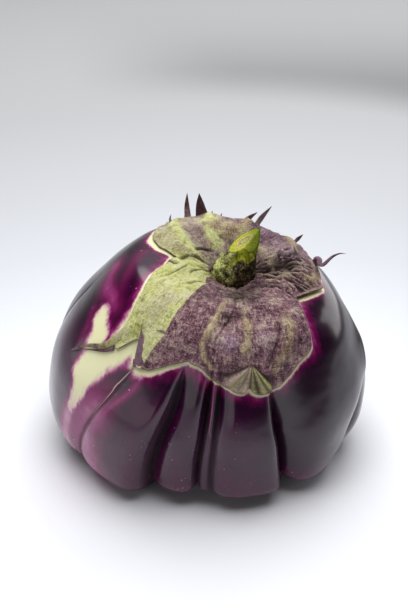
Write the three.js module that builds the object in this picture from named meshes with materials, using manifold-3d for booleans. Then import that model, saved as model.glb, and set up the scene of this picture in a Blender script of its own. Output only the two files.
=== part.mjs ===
// A ribbed violet eggplant, as picked: the fruit, the calyx that caps it and the cut stalk.
//
// Millimetres, +Z up. The origin is the middle of the flat spot that the fruit rests on, and the
// deeply ribbed side faces -Y. A place on the skin is given by its azimuth, in degrees from -Y
// towards +X, and by its reach, the length of skin between it and the stalk.

import * as THREE from 'three';
import { mergeVertices } from 'three/addons/utils/BufferGeometryUtils.js';
import Module from 'manifold-3d';

const wasm = await Module();
wasm.setup();

// ---------------------------------------------------------------- fruit: driving dimensions

// Radius and height of the fruit before it leans, from the dimple under the stalk,
// over the shoulder and down to the middle of the flat spot.
const HALF_OUTLINE = [
  [0, 62], [5.5, 63], [13, 68.5], [23.5, 73.2], [35, 71], [47, 57], [57, 39.5],
  [59, 20], [56.6, 5.5], [47.5, -1], [33, -2], [14, -2], [0, -2],
];

// The grooves, going round. Each starts at one azimuth under the calyx and ends at another at the
// foot. The crest is how far the lobe after the groove lies back, the two wall numbers say how
// steeply the skin drops into the groove from its left and from its right, and it grows to full
// depth over a length of skin from where it starts.
const GROOVES = [
  { calyx: -138, foot: -142, depth: 6.5, crest: 0, left: 3, right: 3, start: 41, growth: 39 },
  { calyx: -92, foot: -96, depth: 1.2, crest: 0.5, left: 3, right: 3, start: 41, growth: 39 },
  { calyx: -33.5, foot: -54.5, depth: 3.9, crest: 2.5, left: 2.5, right: 5, start: 41, growth: 39 },
  { calyx: -17.2, foot: -23, depth: 12.8, crest: 8.5, left: 6, right: 2.1, start: 44, growth: 32 },
  { calyx: -6.8, foot: -5, depth: 14, crest: 10.5, left: 4, right: 2.5, start: 42, growth: 26 },
  { calyx: -3.8, foot: 0, depth: 11.5, crest: 7, left: 2.5, right: 4.5, start: 42, growth: 26 },
  { calyx: 15.3, foot: 27, depth: 15, crest: 6, left: 8, right: 2.8, start: 40, growth: 34 },
  { calyx: 80, foot: 54, depth: 9, crest: 3.2, left: 3, right: 3, start: 60, growth: 32 },
  { calyx: 98, foot: 102, depth: 4, crest: 0, left: 3, right: 3, start: 41, growth: 39 },
  { calyx: 128, foot: 130, depth: 8.5, crest: 0, left: 3, right: 3, start: 41, growth: 39 },
  { calyx: 160, foot: 160, depth: 7.5, crest: 0, left: 3, right: 3, start: 41, growth: 39 },
  { calyx: 192, foot: 190, depth: 8.5, crest: 0, left: 3, right: 3, start: 41, growth: 39 },
];

const CREST_START = 41; // reach where the lobes begin to lie back
const CREST_GROWTH = 39; // length over which they come to lie back fully
const GROOVE_FADE = 67; // they fade out from this far before the middle of the flat spot
const GROOVE_FADE_SPAN = 62; // length over which they fade out
const SWEEP_START = 37; // reach where a groove starts to swing towards its foot azimuth
const SWEEP_SPAN = 88; // length over which it swings

const FRONT_SWELL = 0.18; // the ribbed side is this share fatter, the back as much thinner
const LEFT_SWELL = 0.05; // the same for the left and the right side
const DIAGONAL_SWELL = 0.045; // the same for the two diagonals
const CORNER_SWELL = 0.014; // the right side is a little squarish: it swells by this share
const CORNER_AZIMUTH = 62;
const CORNER_WIDTH = 13; // degrees to either side
const SIDE_TUCK = 0.09; // near the foot the two sides draw in by this share
const TUCK_HEIGHT = 20; // and they do so below this height
const LEAN_RIGHT = THREE.MathUtils.degToRad(6);
const LEAN_FORWARD = THREE.MathUtils.degToRad(4);
const LEAN_HEIGHT = 48; // the foot stays level and the lean is full above this height

const LOBE_STEP = 7.5; // degrees between columns of skin points
const LOBE_LEAST_STEPS = 5;
const PLEAT_WIDTH = 5; // a lobe narrower than this is a pleat, and needs few columns
const PLEAT_STEPS = 3;
const RING_STEP = 5.5; // length of skin between rings of skin points
const FLAT_REACH = 138; // from here on the skin is nearly flat and needs few rings
const FLAT_RINGS = 3;

// ---------------------------------------------------------------- calyx: driving dimensions

// The edge of the calyx as azimuth and reach, going round from the notch at the back left.
const CALYX_EDGE = [
  [-164, 40], [-147, 39], [-132, 36], [-119, 35], [-105, 32], [-95.5, 28.5], [-87, 22],
  [-81, 24.5], [-71, 26.5], [-63, 31.5], [-53.5, 38], [-49, 46], [-46, 57], [-43.5, 58.5],
  [-41, 54], [-38, 50.5], [-35.5, 56], [-32, 59.5], [-28, 58.5], [-21.5, 53.5], [-16.5, 51],
  [-11, 52], [-6.8, 54.5], [3, 57.8], [9, 58.3], [15.5, 57.5], [19, 56.2], [27, 50.5],
  [35.5, 47], [37.5, 40], [39.5, 35], [43, 30.5], [53, 32], [66, 35], [73, 34], [91, 35.5],
  [101, 35], [124, 38.5], [136, 35], [151, 38], [168, 41], [182, 38],
];

const CALYX_GAP = 0.6; // clear space between the calyx and the skin
const CALYX_LEAST_GAP = 0.3; // the same, where the calyx spans from one facet to the next
const CALYX_THICKNESS = 2.4;
const CALYX_EDGE_THICKNESS = 0.9;
const CALYX_TAPER = 9; // it thins out over this much reach before its edge
const COLLAR_RISE = 1.6; // extra thickness round the stalk
const COLLAR_REACH = 7;
const COLLAR_FADE = 9;
const CALYX_DRAPE = 0.8; // share of each groove that the top of the calyx follows
const CORNER_SNAP = 1; // a corner of the edge this many degrees from a column of the fruit joins it
const CALYX_TOP_RINGS = 6;
const CALYX_UNDER_RINGS = 11;

// Dried sepal tips and prickles: azimuth, reach and height over the skin of the points that each
// runs through from root to tip, and its half width and half thickness at the root.
const SPIKES = [
  { width: 1.6, depth: 1.1, path: [[-146, 37.5, 1], [-146, 36, 6.5], [-143, 34, 12]] },
  { width: 2.2, depth: 1.2, path: [[-159, 37, 1], [-155.5, 34.5, 6.6], [-152, 33, 12]] },
  { width: 0.8, depth: 0.7, path: [[-133.5, 35.5, 1], [-134.5, 36, 2.6], [-136, 36.5, 4]] },
  { width: 2.2, depth: 1.4, path: [[160, 36.5, 1], [157, 36, 5.5], [151, 35.5, 10]] },
  { width: 0.9, depth: 0.8, path: [[125, 37.5, 1], [124, 37, 2.8], [120, 36, 4.8]] },
  { width: 1.3, depth: 1, path: [[90, 35, 1], [89, 35.7, 4.5], [93, 38.5, 7.5], [99, 43, 10.5]] },
  { width: 1.9, depth: 0.9, path: [[-45, 57.5, 1.2], [-51.5, 61.3, 1.6], [-63.5, 73.5, 1.5]] },
  { width: 1.8, depth: 1, path: [[-32, 58.5, 1.2], [-34, 54.5, 2.6], [-39, 47.5, 4]] },
];
const SPIKE_SIDES = 6;
const SPIKE_RINGS = 6;

// ---------------------------------------------------------------- stalk: driving dimensions

// Points along the middle of the stalk, from inside the calyx to beyond the cut, and its radius.
const STALK_AXIS = [
  [9.3, -4.5, 57], [9.2, -5.5, 63], [8.8, -7, 68.5], [10.2, -7.8, 73.5],
  [11.6, -8, 77.5], [12.8, -8, 83], [14.5, -8, 90],
];
const STALK_RADII = [5.2, 5.8, 7.6, 7.3, 5.5, 5.1, 5];
const STALK_SIDES = 16;
const STALK_RINGS = 13;

// Two waves run round and along the stalk, and knobs stand where both are high.
const KNOB_HEIGHT = 0.07; // as a share of the radius
const RIDGES = 3; // the first wave's crests in a turn
const RIDGE_TWIST = 9; // how far it turns along the stalk, in radians
const BUMPS = 2; // the second wave's crests in a turn
const BUMP_TWIST = 7;

// Two strokes of the knife: a point on each cut and the direction that the cut face looks in.
const CUTS = [
  { point: [12, -8, 81.2], faces: [-0.52, -0.24, 0.82] },
  { point: [12.5, -12, 80.2], faces: [0.3, -0.8, 0.5] },
];
const CUT_REACH = 60; // everything this far beyond a cut is taken off
const STALK_GAP = 0.3; // clear space between the stalk and the calyx

// ---------------------------------------------------------------- shared helpers

const CURVE_TENSION = 0.5;
const CURVE_DIVISIONS = 1200; // stretches that a curve's length is measured over

/** Rises smoothly from 0 at x = 0 to 1 at x = 1. */
function smooth(x) {
  const t = THREE.MathUtils.clamp(x, 0, 1);
  return t * t * (3 - 2 * t);
}

/** A smooth curve through points, with speed set only by their spacing in the list. */
function curveThrough(points) {
  const curve = new THREE.CatmullRomCurve3(
    points.map((p) => new THREE.Vector3(...p)), false, 'catmullrom', CURVE_TENSION);
  curve.arcLengthDivisions = CURVE_DIVISIONS;
  return curve;
}

/**
 * A closed surface stretched over rings of points. The first and last rings are single points,
 * the others all have the same count and run anticlockwise seen from the first point's side.
 */
function surfaceOverRings(rings) {
  const positions = rings.flat().flatMap((p) => [p.x, p.y, p.z]);
  const count = rings[1].length;
  const last = rings.flat().length - 1;
  const at = (ring, column) => 1 + (ring - 1) * count + (column % count);
  const index = [];
  for (let j = 0; j < count; j++) {
    index.push(0, at(1, j), at(1, j + 1));
    for (let i = 1; i < rings.length - 2; i++) {
      index.push(at(i, j), at(i + 1, j), at(i + 1, j + 1));
      index.push(at(i, j), at(i + 1, j + 1), at(i, j + 1));
    }
    index.push(at(rings.length - 2, j), last, at(rings.length - 2, j + 1));
  }
  const geometry = new THREE.BufferGeometry();
  geometry.setAttribute('position', new THREE.Float32BufferAttribute(positions, 3));
  geometry.setIndex(index);
  return geometry;
}

/** The solid that a closed geometry bounds. */
function solidFrom(geometry) {
  const bare = geometry.clone();
  bare.deleteAttribute('normal');
  bare.deleteAttribute('uv');
  const merged = mergeVertices(bare);
  return new wasm.Manifold(new wasm.Mesh({
    numProp: 3,
    vertProperties: new Float32Array(merged.attributes.position.array),
    triVerts: new Uint32Array(merged.index.array),
  }));
}

/** The geometry of a solid's surface. */
function geometryFrom(solid) {
  const { vertProperties, triVerts } = solid.getMesh();
  const geometry = new THREE.BufferGeometry();
  geometry.setAttribute('position', new THREE.Float32BufferAttribute(vertProperties, 3));
  geometry.setIndex(Array.from(triVerts));
  return geometry;
}

/** A named piece of the part. */
function piece(name, geometry, color, roughness) {
  geometry.computeVertexNormals();
  const material = new THREE.MeshStandardMaterial({ color, roughness, metalness: 0 });
  const mesh = new THREE.Mesh(geometry, material);
  mesh.name = name;
  return mesh;
}

// ---------------------------------------------------------------- the skin as a formula

const outline = curveThrough(HALF_OUTLINE.map(([radius, height]) => [radius, height, 0]));
const SKIN_LENGTH = outline.getLength();

/** The groove with this number, counting round and round. */
function groove(number) {
  const turns = Math.floor(number / GROOVES.length);
  const found = GROOVES[number - turns * GROOVES.length];
  return { ...found, calyx: found.calyx + 360 * turns, foot: found.foot + 360 * turns };
}

/** How deep the skin lies under the smooth body, at a share of the way across a lobe. */
function grooveDepth(lobe, share, reach) {
  const faded = 1 - smooth((reach - (SKIN_LENGTH - GROOVE_FADE)) / GROOVE_FADE_SPAN);
  const here = groove(lobe);
  const next = groove(lobe + 1);
  const near = share < 0.5 ? here : next;
  const wall = share < 0.5 ? here.right : next.left;
  const crest = here.crest * smooth((reach - CREST_START) / CREST_GROWTH);
  const depth = near.depth * smooth((reach - near.start) / near.growth);
  const nearness = Math.abs(2 * share - 1) ** wall;
  return THREE.MathUtils.lerp(crest, depth, nearness) * faded;
}

/** The whole fruit leans, and its foot stays level. */
function lean(point) {
  const right = LEAN_RIGHT * smooth(point.z / LEAN_HEIGHT);
  const forward = LEAN_FORWARD * smooth(point.z / LEAN_HEIGHT);
  return point
    .applyAxisAngle(new THREE.Vector3(0, 1, 0), right)
    .applyAxisAngle(new THREE.Vector3(1, 0, 0), forward);
}

/** The point at a share of the way across a lobe, at a reach, standing off the skin by a lift. */
function skinPoint(lobe, share, reach, lift = 0, drape = 1) {
  const sweep = smooth((reach - SWEEP_START) / SWEEP_SPAN);
  const from = THREE.MathUtils.lerp(groove(lobe).calyx, groove(lobe).foot, sweep);
  const to = THREE.MathUtils.lerp(groove(lobe + 1).calyx, groove(lobe + 1).foot, sweep);
  const azimuth = THREE.MathUtils.degToRad(THREE.MathUtils.lerp(from, to, share));
  const along = THREE.MathUtils.clamp(reach / SKIN_LENGTH, 0, 1);
  const profile = outline.getPointAt(along);
  const slope = outline.getTangentAt(along);
  const off = lift - drape * grooveDepth(lobe, share, reach);
  const fromCorner = (THREE.MathUtils.radToDeg(azimuth) - CORNER_AZIMUTH) / CORNER_WIDTH;
  const height = profile.y + slope.x * off;
  const tuck = SIDE_TUCK * Math.sin(azimuth) ** 4 * (1 - smooth(height / TUCK_HEIGHT));
  const swell = 1 + FRONT_SWELL * Math.cos(azimuth) - LEFT_SWELL * Math.sin(azimuth)
    + DIAGONAL_SWELL * Math.sin(2 * azimuth) + CORNER_SWELL * Math.exp(-(fromCorner ** 2)) - tuck;
  const radius = Math.max(profile.x * swell - slope.y * off, 0);
  return lean(new THREE.Vector3(radius * Math.sin(azimuth), -radius * Math.cos(azimuth), height));
}

/** The lobe and the share of the way across it, for an azimuth measured under the calyx. */
function columnAt(azimuth) {
  const first = GROOVES[0].calyx;
  const turned = THREE.MathUtils.euclideanModulo(azimuth - first, 360) + first;
  const lobe = GROOVES.findLastIndex(({ calyx }) => calyx <= turned);
  const width = groove(lobe + 1).calyx - groove(lobe).calyx;
  return { lobe, share: (turned - groove(lobe).calyx) / width };
}

// ---------------------------------------------------------------- fruit

/** Columns of skin points: one in each groove, and more between, closer near the grooves. */
function fruitColumns() {
  return GROOVES.flatMap((_, lobe) => {
    const width = groove(lobe + 1).calyx - groove(lobe).calyx;
    const leastSteps = width < PLEAT_WIDTH ? PLEAT_STEPS : LOBE_LEAST_STEPS;
    const steps = Math.max(leastSteps, Math.round(width / LOBE_STEP));
    return Array.from({ length: steps }, (_, k) => (
      { lobe, share: (1 - Math.cos(Math.PI * k / steps)) / 2 }));
  });
}

/** The body of the fruit, with the skin moved out by a lift and the foot pressed flat. */
function fruitSurface(lift = 0) {
  const columns = fruitColumns();
  const onFloor = (point) => point.setZ(Math.max(point.z, 0));
  const rings = [[skinPoint(0, 0, 0, lift)]];
  const sideRings = Math.round(FLAT_REACH / RING_STEP);
  for (let i = 1; i <= sideRings; i++) {
    const reach = FLAT_REACH * i / sideRings;
    rings.push(columns.map(({ lobe, share }) => onFloor(skinPoint(lobe, share, reach, lift))));
  }
  for (let i = 1; i < FLAT_RINGS; i++) {
    const reach = THREE.MathUtils.lerp(FLAT_REACH, SKIN_LENGTH, i / FLAT_RINGS);
    rings.push(columns.map(({ lobe, share }) => onFloor(skinPoint(lobe, share, reach, lift))));
  }
  rings.push([new THREE.Vector3(0, 0, 0)]);
  return surfaceOverRings(rings);
}

// ---------------------------------------------------------------- calyx

/** The azimuths, under the calyx, of the fruit's columns. */
function fruitAzimuths() {
  return fruitColumns().map(({ lobe, share }) => (
    THREE.MathUtils.lerp(groove(lobe).calyx, groove(lobe + 1).calyx, share)));
}

/** Columns of calyx points: at each corner of its edge, and wherever the fruit has a column. */
function calyxColumns() {
  const fruit = [-360, 0, 360].flatMap((turn) => fruitAzimuths().map((azimuth) => azimuth + turn));
  const corners = CALYX_EDGE.map(([azimuth, edge]) => {
    const near = fruit.find((other) => Math.abs(other - azimuth) < CORNER_SNAP);
    return { azimuth: near ?? azimuth, edge };
  });
  corners.push({ azimuth: corners[0].azimuth + 360, edge: corners[0].edge });
  return corners.slice(0, -1).flatMap((from, i) => {
    const to = corners[i + 1];
    const between = fruit.filter((azimuth) => azimuth > from.azimuth && azimuth < to.azimuth);
    return [from.azimuth, ...between].map((azimuth) => ({
      ...columnAt(azimuth),
      edge: THREE.MathUtils.mapLinear(azimuth, from.azimuth, to.azimuth, from.edge, to.edge),
    }));
  });
}

/** How high the top of the calyx stands over the skin. */
function calyxTop(reach, edge) {
  const inside = smooth((edge - reach) / CALYX_TAPER);
  const collar = COLLAR_RISE * (1 - smooth((reach - COLLAR_REACH) / COLLAR_FADE));
  return CALYX_GAP + THREE.MathUtils.lerp(CALYX_EDGE_THICKNESS, CALYX_THICKNESS, inside) + collar;
}

/** The cap of joined sepals, with its top raised by an allowance. */
function calyxShell(allowance = 0) {
  const columns = calyxColumns();
  const highest = calyxTop(0, CALYX_EDGE[0][1]) + allowance;
  const rings = [[skinPoint(0, 0, 0, highest)]];
  for (let i = 1; i <= CALYX_TOP_RINGS; i++) {
    rings.push(columns.map(({ lobe, share, edge }) => {
      const reach = edge * i / CALYX_TOP_RINGS;
      return skinPoint(lobe, share, reach, calyxTop(reach, edge) + allowance, CALYX_DRAPE);
    }));
  }
  for (let i = CALYX_UNDER_RINGS; i > 0; i--) {
    rings.push(columns.map(({ lobe, share, edge }) => (
      skinPoint(lobe, share, edge * i / CALYX_UNDER_RINGS, CALYX_GAP))));
  }
  rings.push([skinPoint(0, 0, 0, CALYX_GAP)]);
  return surfaceOverRings(rings);
}

/** One dried tip or prickle: a flattened horn that tapers along its path. */
function spike({ width, depth, path }) {
  const line = curveThrough(path.map(([azimuth, reach, lift]) => {
    const { lobe, share } = columnAt(azimuth);
    return skinPoint(lobe, share, reach, lift).toArray();
  }));
  const { lobe, share } = columnAt(path[0][0]);
  const outward = skinPoint(lobe, share, path[0][1], 1).sub(skinPoint(lobe, share, path[0][1]));
  const rings = [[line.getPoint(0)]];
  for (let i = 0; i < SPIKE_RINGS; i++) {
    const along = i / SPIKE_RINGS;
    const forward = line.getTangent(along);
    const flatSide = outward.clone().cross(forward).normalize();
    const edgeSide = forward.clone().cross(flatSide);
    const taper = 1 - along;
    rings.push(Array.from({ length: SPIKE_SIDES }, (_, k) => {
      const turn = -2 * Math.PI * k / SPIKE_SIDES;
      return line.getPoint(along)
        .addScaledVector(flatSide, width * taper * Math.cos(turn))
        .addScaledVector(edgeSide, depth * taper * Math.sin(turn));
    }));
  }
  rings.push([line.getPoint(1)]);
  return surfaceOverRings(rings);
}

/** The calyx with its spikes, trimmed where it would come too near the skin. */
function calyx() {
  let cap = solidFrom(calyxShell());
  for (const shape of SPIKES) {
    cap = cap.add(solidFrom(spike(shape)));
  }
  return geometryFrom(cap.subtract(solidFrom(fruitSurface(CALYX_LEAST_GAP))));
}

// ---------------------------------------------------------------- stalk

/** The stalk before it is cut: a bent, knobbly cone that starts inside the calyx. */
function uncutStalk() {
  const axis = curveThrough(STALK_AXIS);
  const girth = curveThrough(STALK_RADII.map((radius) => [radius, 0, 0]));
  const rings = [[axis.getPoint(1)]];
  for (let i = STALK_RINGS; i >= 0; i--) {
    const along = i / STALK_RINGS;
    const centre = axis.getPoint(along);
    rings.push(Array.from({ length: STALK_SIDES }, (_, k) => {
      const turn = 2 * Math.PI * k / STALK_SIDES;
      const ridge = Math.sin(RIDGES * turn + RIDGE_TWIST * along);
      const bump = Math.cos(BUMP_TWIST * along - BUMPS * turn);
      const radius = girth.getPoint(along).x * (1 + KNOB_HEIGHT * ridge * bump);
      return new THREE.Vector3(centre.x + radius * Math.cos(turn),
        centre.y + radius * Math.sin(turn), centre.z);
    }));
  }
  rings.push([axis.getPoint(0)]);
  return surfaceOverRings(rings);
}

/** A block whose under face lies in a cut and which holds all that the knife takes off. */
function cutBlock({ point, faces }) {
  const block = new THREE.BoxGeometry(CUT_REACH, CUT_REACH, CUT_REACH);
  block.translate(0, 0, CUT_REACH / 2);
  const normal = new THREE.Vector3(...faces).normalize();
  const turn = new THREE.Quaternion().setFromUnitVectors(new THREE.Vector3(0, 0, 1), normal);
  return block.applyQuaternion(turn).translate(...point);
}

/** The stalk, standing just clear of the calyx and cut off slantwise by two strokes. */
function stalk() {
  let solid = solidFrom(uncutStalk()).subtract(solidFrom(calyxShell(STALK_GAP)));
  for (const cut of CUTS) {
    solid = solid.subtract(solidFrom(cutBlock(cut)));
  }
  const [upper] = solid.decompose().sort((a, b) => b.boundingBox().max[2] - a.boundingBox().max[2]);
  return geometryFrom(upper);
}

// ---------------------------------------------------------------- the part

const eggplant = new THREE.Group();
eggplant.add(
  piece('fruit', fruitSurface(), 0x2b0f2e, 0.28),
  piece('calyx', calyx(), 0x8c8a5e, 0.85),
  piece('stalk', stalk(), 0x5b6a2c, 0.8),
);

export default eggplant;
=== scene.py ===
# %% [markdown]
# # A ribbed violet eggplant
#
# An eggplant as it is picked: a squat, deeply ribbed fruit, the spiny calyx that caps it and the
# short cut stalk. The construction model fixes where each of them is and how big it is. This
# lesson makes their real surfaces over it, then their finishes, then the light.
#
# The first cell loads the construction model. It stays where it is, and its box is kept.

# %% Load the construction model
import math
import bpy
import numpy as np
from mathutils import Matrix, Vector, noise


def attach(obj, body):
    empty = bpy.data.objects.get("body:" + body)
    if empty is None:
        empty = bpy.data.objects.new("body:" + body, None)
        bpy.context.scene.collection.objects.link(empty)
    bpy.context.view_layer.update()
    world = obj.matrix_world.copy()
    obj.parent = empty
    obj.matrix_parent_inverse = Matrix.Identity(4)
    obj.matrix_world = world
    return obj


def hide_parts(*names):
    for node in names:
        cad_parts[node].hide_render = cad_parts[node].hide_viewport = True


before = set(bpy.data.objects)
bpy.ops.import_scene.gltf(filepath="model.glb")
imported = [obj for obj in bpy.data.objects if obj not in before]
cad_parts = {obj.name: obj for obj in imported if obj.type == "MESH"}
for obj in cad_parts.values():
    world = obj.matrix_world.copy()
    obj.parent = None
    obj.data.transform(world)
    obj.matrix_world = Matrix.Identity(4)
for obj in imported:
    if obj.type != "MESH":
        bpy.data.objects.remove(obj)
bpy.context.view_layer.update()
MM = 0.001  # the shapes below are worked out in millimetres and built in metres
print("pieces in the construction model:", sorted(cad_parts))

# %% [markdown]
# ## Where the camera stands
#
# A vegetable on a table is seen from above, at the height of somebody standing a step away. A long
# lens keeps the near side from swelling. The camera looks at a point in the middle of the fruit, so
# its place is only a direction and a distance from there.

# %% The camera
LENS, SENSOR = 85, 36  # focal length, and the longer side of the sensor, in mm
CAMERA_HEIGHT_ANGLE = math.radians(30.5)
CAMERA_DISTANCE = 0.536  # m
looked_at = Vector((-0.0025, 0, 0.0502))

towards_camera = Vector((0, -math.cos(CAMERA_HEIGHT_ANGLE), math.sin(CAMERA_HEIGHT_ANGLE)))
camera_data = bpy.data.cameras.new("camera")
camera_data.lens = LENS
camera_data.sensor_width = SENSOR
camera = bpy.data.objects.new("camera", camera_data)
camera.location = looked_at + towards_camera * CAMERA_DISTANCE
camera.rotation_mode = "QUATERNION"
camera.rotation_quaternion = (-towards_camera).to_track_quat("-Z", "Y")
bpy.context.scene.collection.objects.link(camera)
bpy.context.scene.camera = camera
print("camera at", [round(value, 3) for value in camera.location])

# %% [markdown]
# ## Small tools for growing shapes
#
# Nothing on a fruit is straight, so most shapes here are smooth curves through a few chosen points,
# most edges between two states are an S-shaped ramp, and most bulges and spots are a bell-shaped
# hump. Random unevenness comes from Blender's own noise function, which gives the same answer for
# the same place every time.

# %% Curves, ramps and unevenness
def smooth(value):
    """Rises smoothly from 0 to 1 as the value goes from 0 to 1."""
    held = np.clip(value, 0, 1)
    return held * held * (3 - 2 * held)


def mix(a, b, share):
    return a + (b - a) * share


def hump(gap, half_width):
    """Falls smoothly from 1 in the middle towards 0 outside the half width."""
    return np.exp(-(gap / half_width) ** 2)


def curve_through(points, steps):
    """Many points along a smooth curve through the given ones."""
    given = np.array(points, float)
    ends = np.vstack([2 * given[0] - given[1], given, 2 * given[-1] - given[-2]])
    t = np.linspace(0, 1, steps, endpoint=False)[:, None]
    parts = []
    for a, b, c, d in zip(ends, ends[1:], ends[2:], ends[3:]):
        bend = (2 * a - 5 * b + 4 * c - d) * t ** 2 + (3 * b - a - 3 * c + d) * t ** 3
        parts.append(0.5 * (2 * b + (c - a) * t + bend))
    return np.vstack(parts + [given[-1:]])


def unevenness(points, size, seed):
    """Smooth random values, about -1 to 1, that change over the given size in mm."""
    shift = Vector((17.3 * seed, -9.1 * seed, 5.7 * seed))
    return np.array([noise.noise(Vector(point) / size + shift) for point in points])


def distance_to(line, points):
    """How far each point is from a line through close points, and how far along the line that is."""
    nearest = np.full(len(points), np.inf)
    along = np.zeros(len(points))
    for k, (start, end) in enumerate(zip(line, line[1:])):
        step = end - start
        share = np.clip((points - start) @ step / max(step @ step, 1e-12), 0, 1)
        gap = np.linalg.norm(points - start - share[:, None] * step, axis=1)
        closer = gap < nearest
        nearest[closer] = gap[closer]
        along[closer] = (k + share[closer]) / (len(line) - 1)
    return nearest, along


# %% [markdown]
# ## The body of the fruit
#
# A plain round eggplant would be a turned shape. This kind grows more flesh between the seams of
# its ovary than on them, so it swells into lobes with grooves between. It could be sculpted by
# hand, but then nothing else could find its surface. So the skin is a formula: a half outline that
# is turned round the axis, pressed in along each groove, fatter on one side, and leaning a little.
# A place on the skin is its azimuth, in degrees from the front towards the right, and its reach,
# the millimetres of skin between it and the stalk. The calyx, its tips and the colours all use it.
# The numbers are those of the construction model, so both have the same shape.

# %% Driving dimensions of the body, in mm and degrees
HALF_OUTLINE = [  # radius and height, from the dimple under the stalk down to the flat spot
    (0, 62), (5.5, 63), (13, 68.5), (23.5, 73.2), (35, 71), (47, 57), (57, 39.5),
    (59, 20), (56.6, 5.5), (47.5, -1), (33, -2), (14, -2), (0, -2)]
# Each groove: azimuth under the calyx, azimuth at the foot, depth, how far the lobe after it lies
# back, how steeply the skin drops into it from the left and from the right, the reach where it
# begins, and the length over which it grows to full depth.
GROOVES = np.array([
    (-138, -142, 6.5, 0, 3, 3, 41, 39), (-92, -96, 1.2, 0.5, 3, 3, 41, 39),
    (-33.5, -54.5, 3.9, 2.5, 2.5, 5, 41, 39), (-17.2, -23, 12.8, 8.5, 6, 2.1, 44, 32),
    (-6.8, -5, 14, 10.5, 4, 2.5, 42, 26), (-3.8, 0, 11.5, 7, 2.5, 4.5, 42, 26),
    (15.3, 27, 15, 6, 8, 2.8, 40, 34), (80, 54, 9, 3.2, 3, 3, 60, 32),
    (98, 102, 4, 0, 3, 3, 41, 39), (128, 130, 8.5, 0, 3, 3, 41, 39),
    (160, 160, 7.5, 0, 3, 3, 41, 39), (192, 190, 8.5, 0, 3, 3, 41, 39)])
CREST_START, CREST_GROWTH = 41, 39  # the same two for how far the lobes lie back
GROOVE_FADE, GROOVE_FADE_SPAN = 67, 62  # the same where they run out on the foot
SWEEP_START, SWEEP_SPAN = 37, 88  # where a groove swings to its foot azimuth, and over what length
FRONT_SWELL, LEFT_SWELL, DIAGONAL_SWELL = 0.18, 0.05, 0.045  # shares of the radius
CORNER_SWELL, CORNER_AZIMUTH, CORNER_WIDTH = 0.014, 62, 13  # the right side is a little squarish
SIDE_TUCK, TUCK_HEIGHT = 0.09, 20  # below this height the two sides draw in towards the foot
LEAN_RIGHT, LEAN_FORWARD, LEAN_HEIGHT = math.radians(6), math.radians(4), 48

outline = curve_through(HALF_OUTLINE, steps=160)
outline_reach = np.append(0, np.cumsum(np.linalg.norm(np.diff(outline, axis=0), axis=1)))
SKIN_LENGTH = outline_reach[-1]
outline_slope = np.gradient(outline, axis=0)
outline_slope /= np.linalg.norm(outline_slope, axis=1)[:, None]
all_grooves = np.vstack([GROOVES, GROOVES[:1] + [360, 360, 0, 0, 0, 0, 0, 0]])
print("skin from the stalk to the middle of the foot:", round(SKIN_LENGTH, 1), "mm")


# %% The skin as a formula
def groove_depth(lobe, share, reach):
    """How deep the skin lies under the smooth body, at a share of the way across a lobe."""
    faded = 1 - smooth((reach - (SKIN_LENGTH - GROOVE_FADE)) / GROOVE_FADE_SPAN)
    here, following = all_grooves[lobe], all_grooves[lobe + 1]
    near_left = share < 0.5
    depth, start, growth = (
        np.where(near_left, here[..., k], following[..., k]) for k in (2, 6, 7))
    wall = np.where(near_left, here[..., 5], following[..., 4])
    crest = here[..., 3] * smooth((reach - CREST_START) / CREST_GROWTH)
    groove = depth * smooth((reach - start) / growth)
    return mix(crest, groove, np.abs(2 * share - 1) ** wall) * faded


def turned(points, axis_a, axis_b, angle):
    """Points turned in the plane of two axes, by an angle for each point."""
    a, b = points[..., axis_a].copy(), points[..., axis_b].copy()
    points[..., axis_a] = a * np.cos(angle) + b * np.sin(angle)
    points[..., axis_b] = b * np.cos(angle) - a * np.sin(angle)
    return points


def skin_point(lobe, share, reach, lift=0.0, drape=1.0):
    """The point at a share of the way across a lobe, at a reach, standing off the skin by a lift."""
    lobe, share, reach = np.broadcast_arrays(lobe, share, reach)
    sweep = smooth((reach - SWEEP_START) / SWEEP_SPAN)
    left = mix(all_grooves[lobe, 0], all_grooves[lobe, 1], sweep)
    right = mix(all_grooves[lobe + 1, 0], all_grooves[lobe + 1, 1], sweep)
    azimuth = np.radians(mix(left, right, share))
    held = np.clip(reach, 0, SKIN_LENGTH)
    radius, height = (np.interp(held, outline_reach, outline[:, i]) for i in (0, 1))
    slope_r, slope_z = (np.interp(held, outline_reach, outline_slope[:, i]) for i in (0, 1))
    off = lift - drape * groove_depth(lobe, share, reach)
    swell = (1 + FRONT_SWELL * np.cos(azimuth) - LEFT_SWELL * np.sin(azimuth)
             + DIAGONAL_SWELL * np.sin(2 * azimuth))
    from_corner = np.degrees(azimuth) - CORNER_AZIMUTH
    swell = swell + CORNER_SWELL * hump(from_corner, CORNER_WIDTH)
    height = height + slope_r * off
    swell = swell - SIDE_TUCK * np.sin(azimuth) ** 4 * (1 - smooth(height / TUCK_HEIGHT))
    radius = np.maximum(radius * swell - slope_z * off, 0)
    points = np.stack([radius * np.sin(azimuth), -radius * np.cos(azimuth), height], axis=-1)
    upper = smooth(points[..., 2] / LEAN_HEIGHT)
    points = turned(points, 0, 2, LEAN_RIGHT * upper)
    upper = smooth(height / LEAN_HEIGHT)
    return turned(points, 2, 1, LEAN_FORWARD * upper)


def column_at(azimuth):
    """The lobe, and the share of the way across it, for azimuths measured under the calyx."""
    first = GROOVES[0, 0]
    around = np.mod(np.asarray(azimuth, float) - first, 360) + first
    lobe = np.searchsorted(all_grooves[:, 0], around, side="right") - 1
    lobe = np.clip(lobe, 0, len(GROOVES) - 1)
    width = all_grooves[lobe + 1, 0] - all_grooves[lobe, 0]
    return lobe, (around - all_grooves[lobe, 0]) / width


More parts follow.
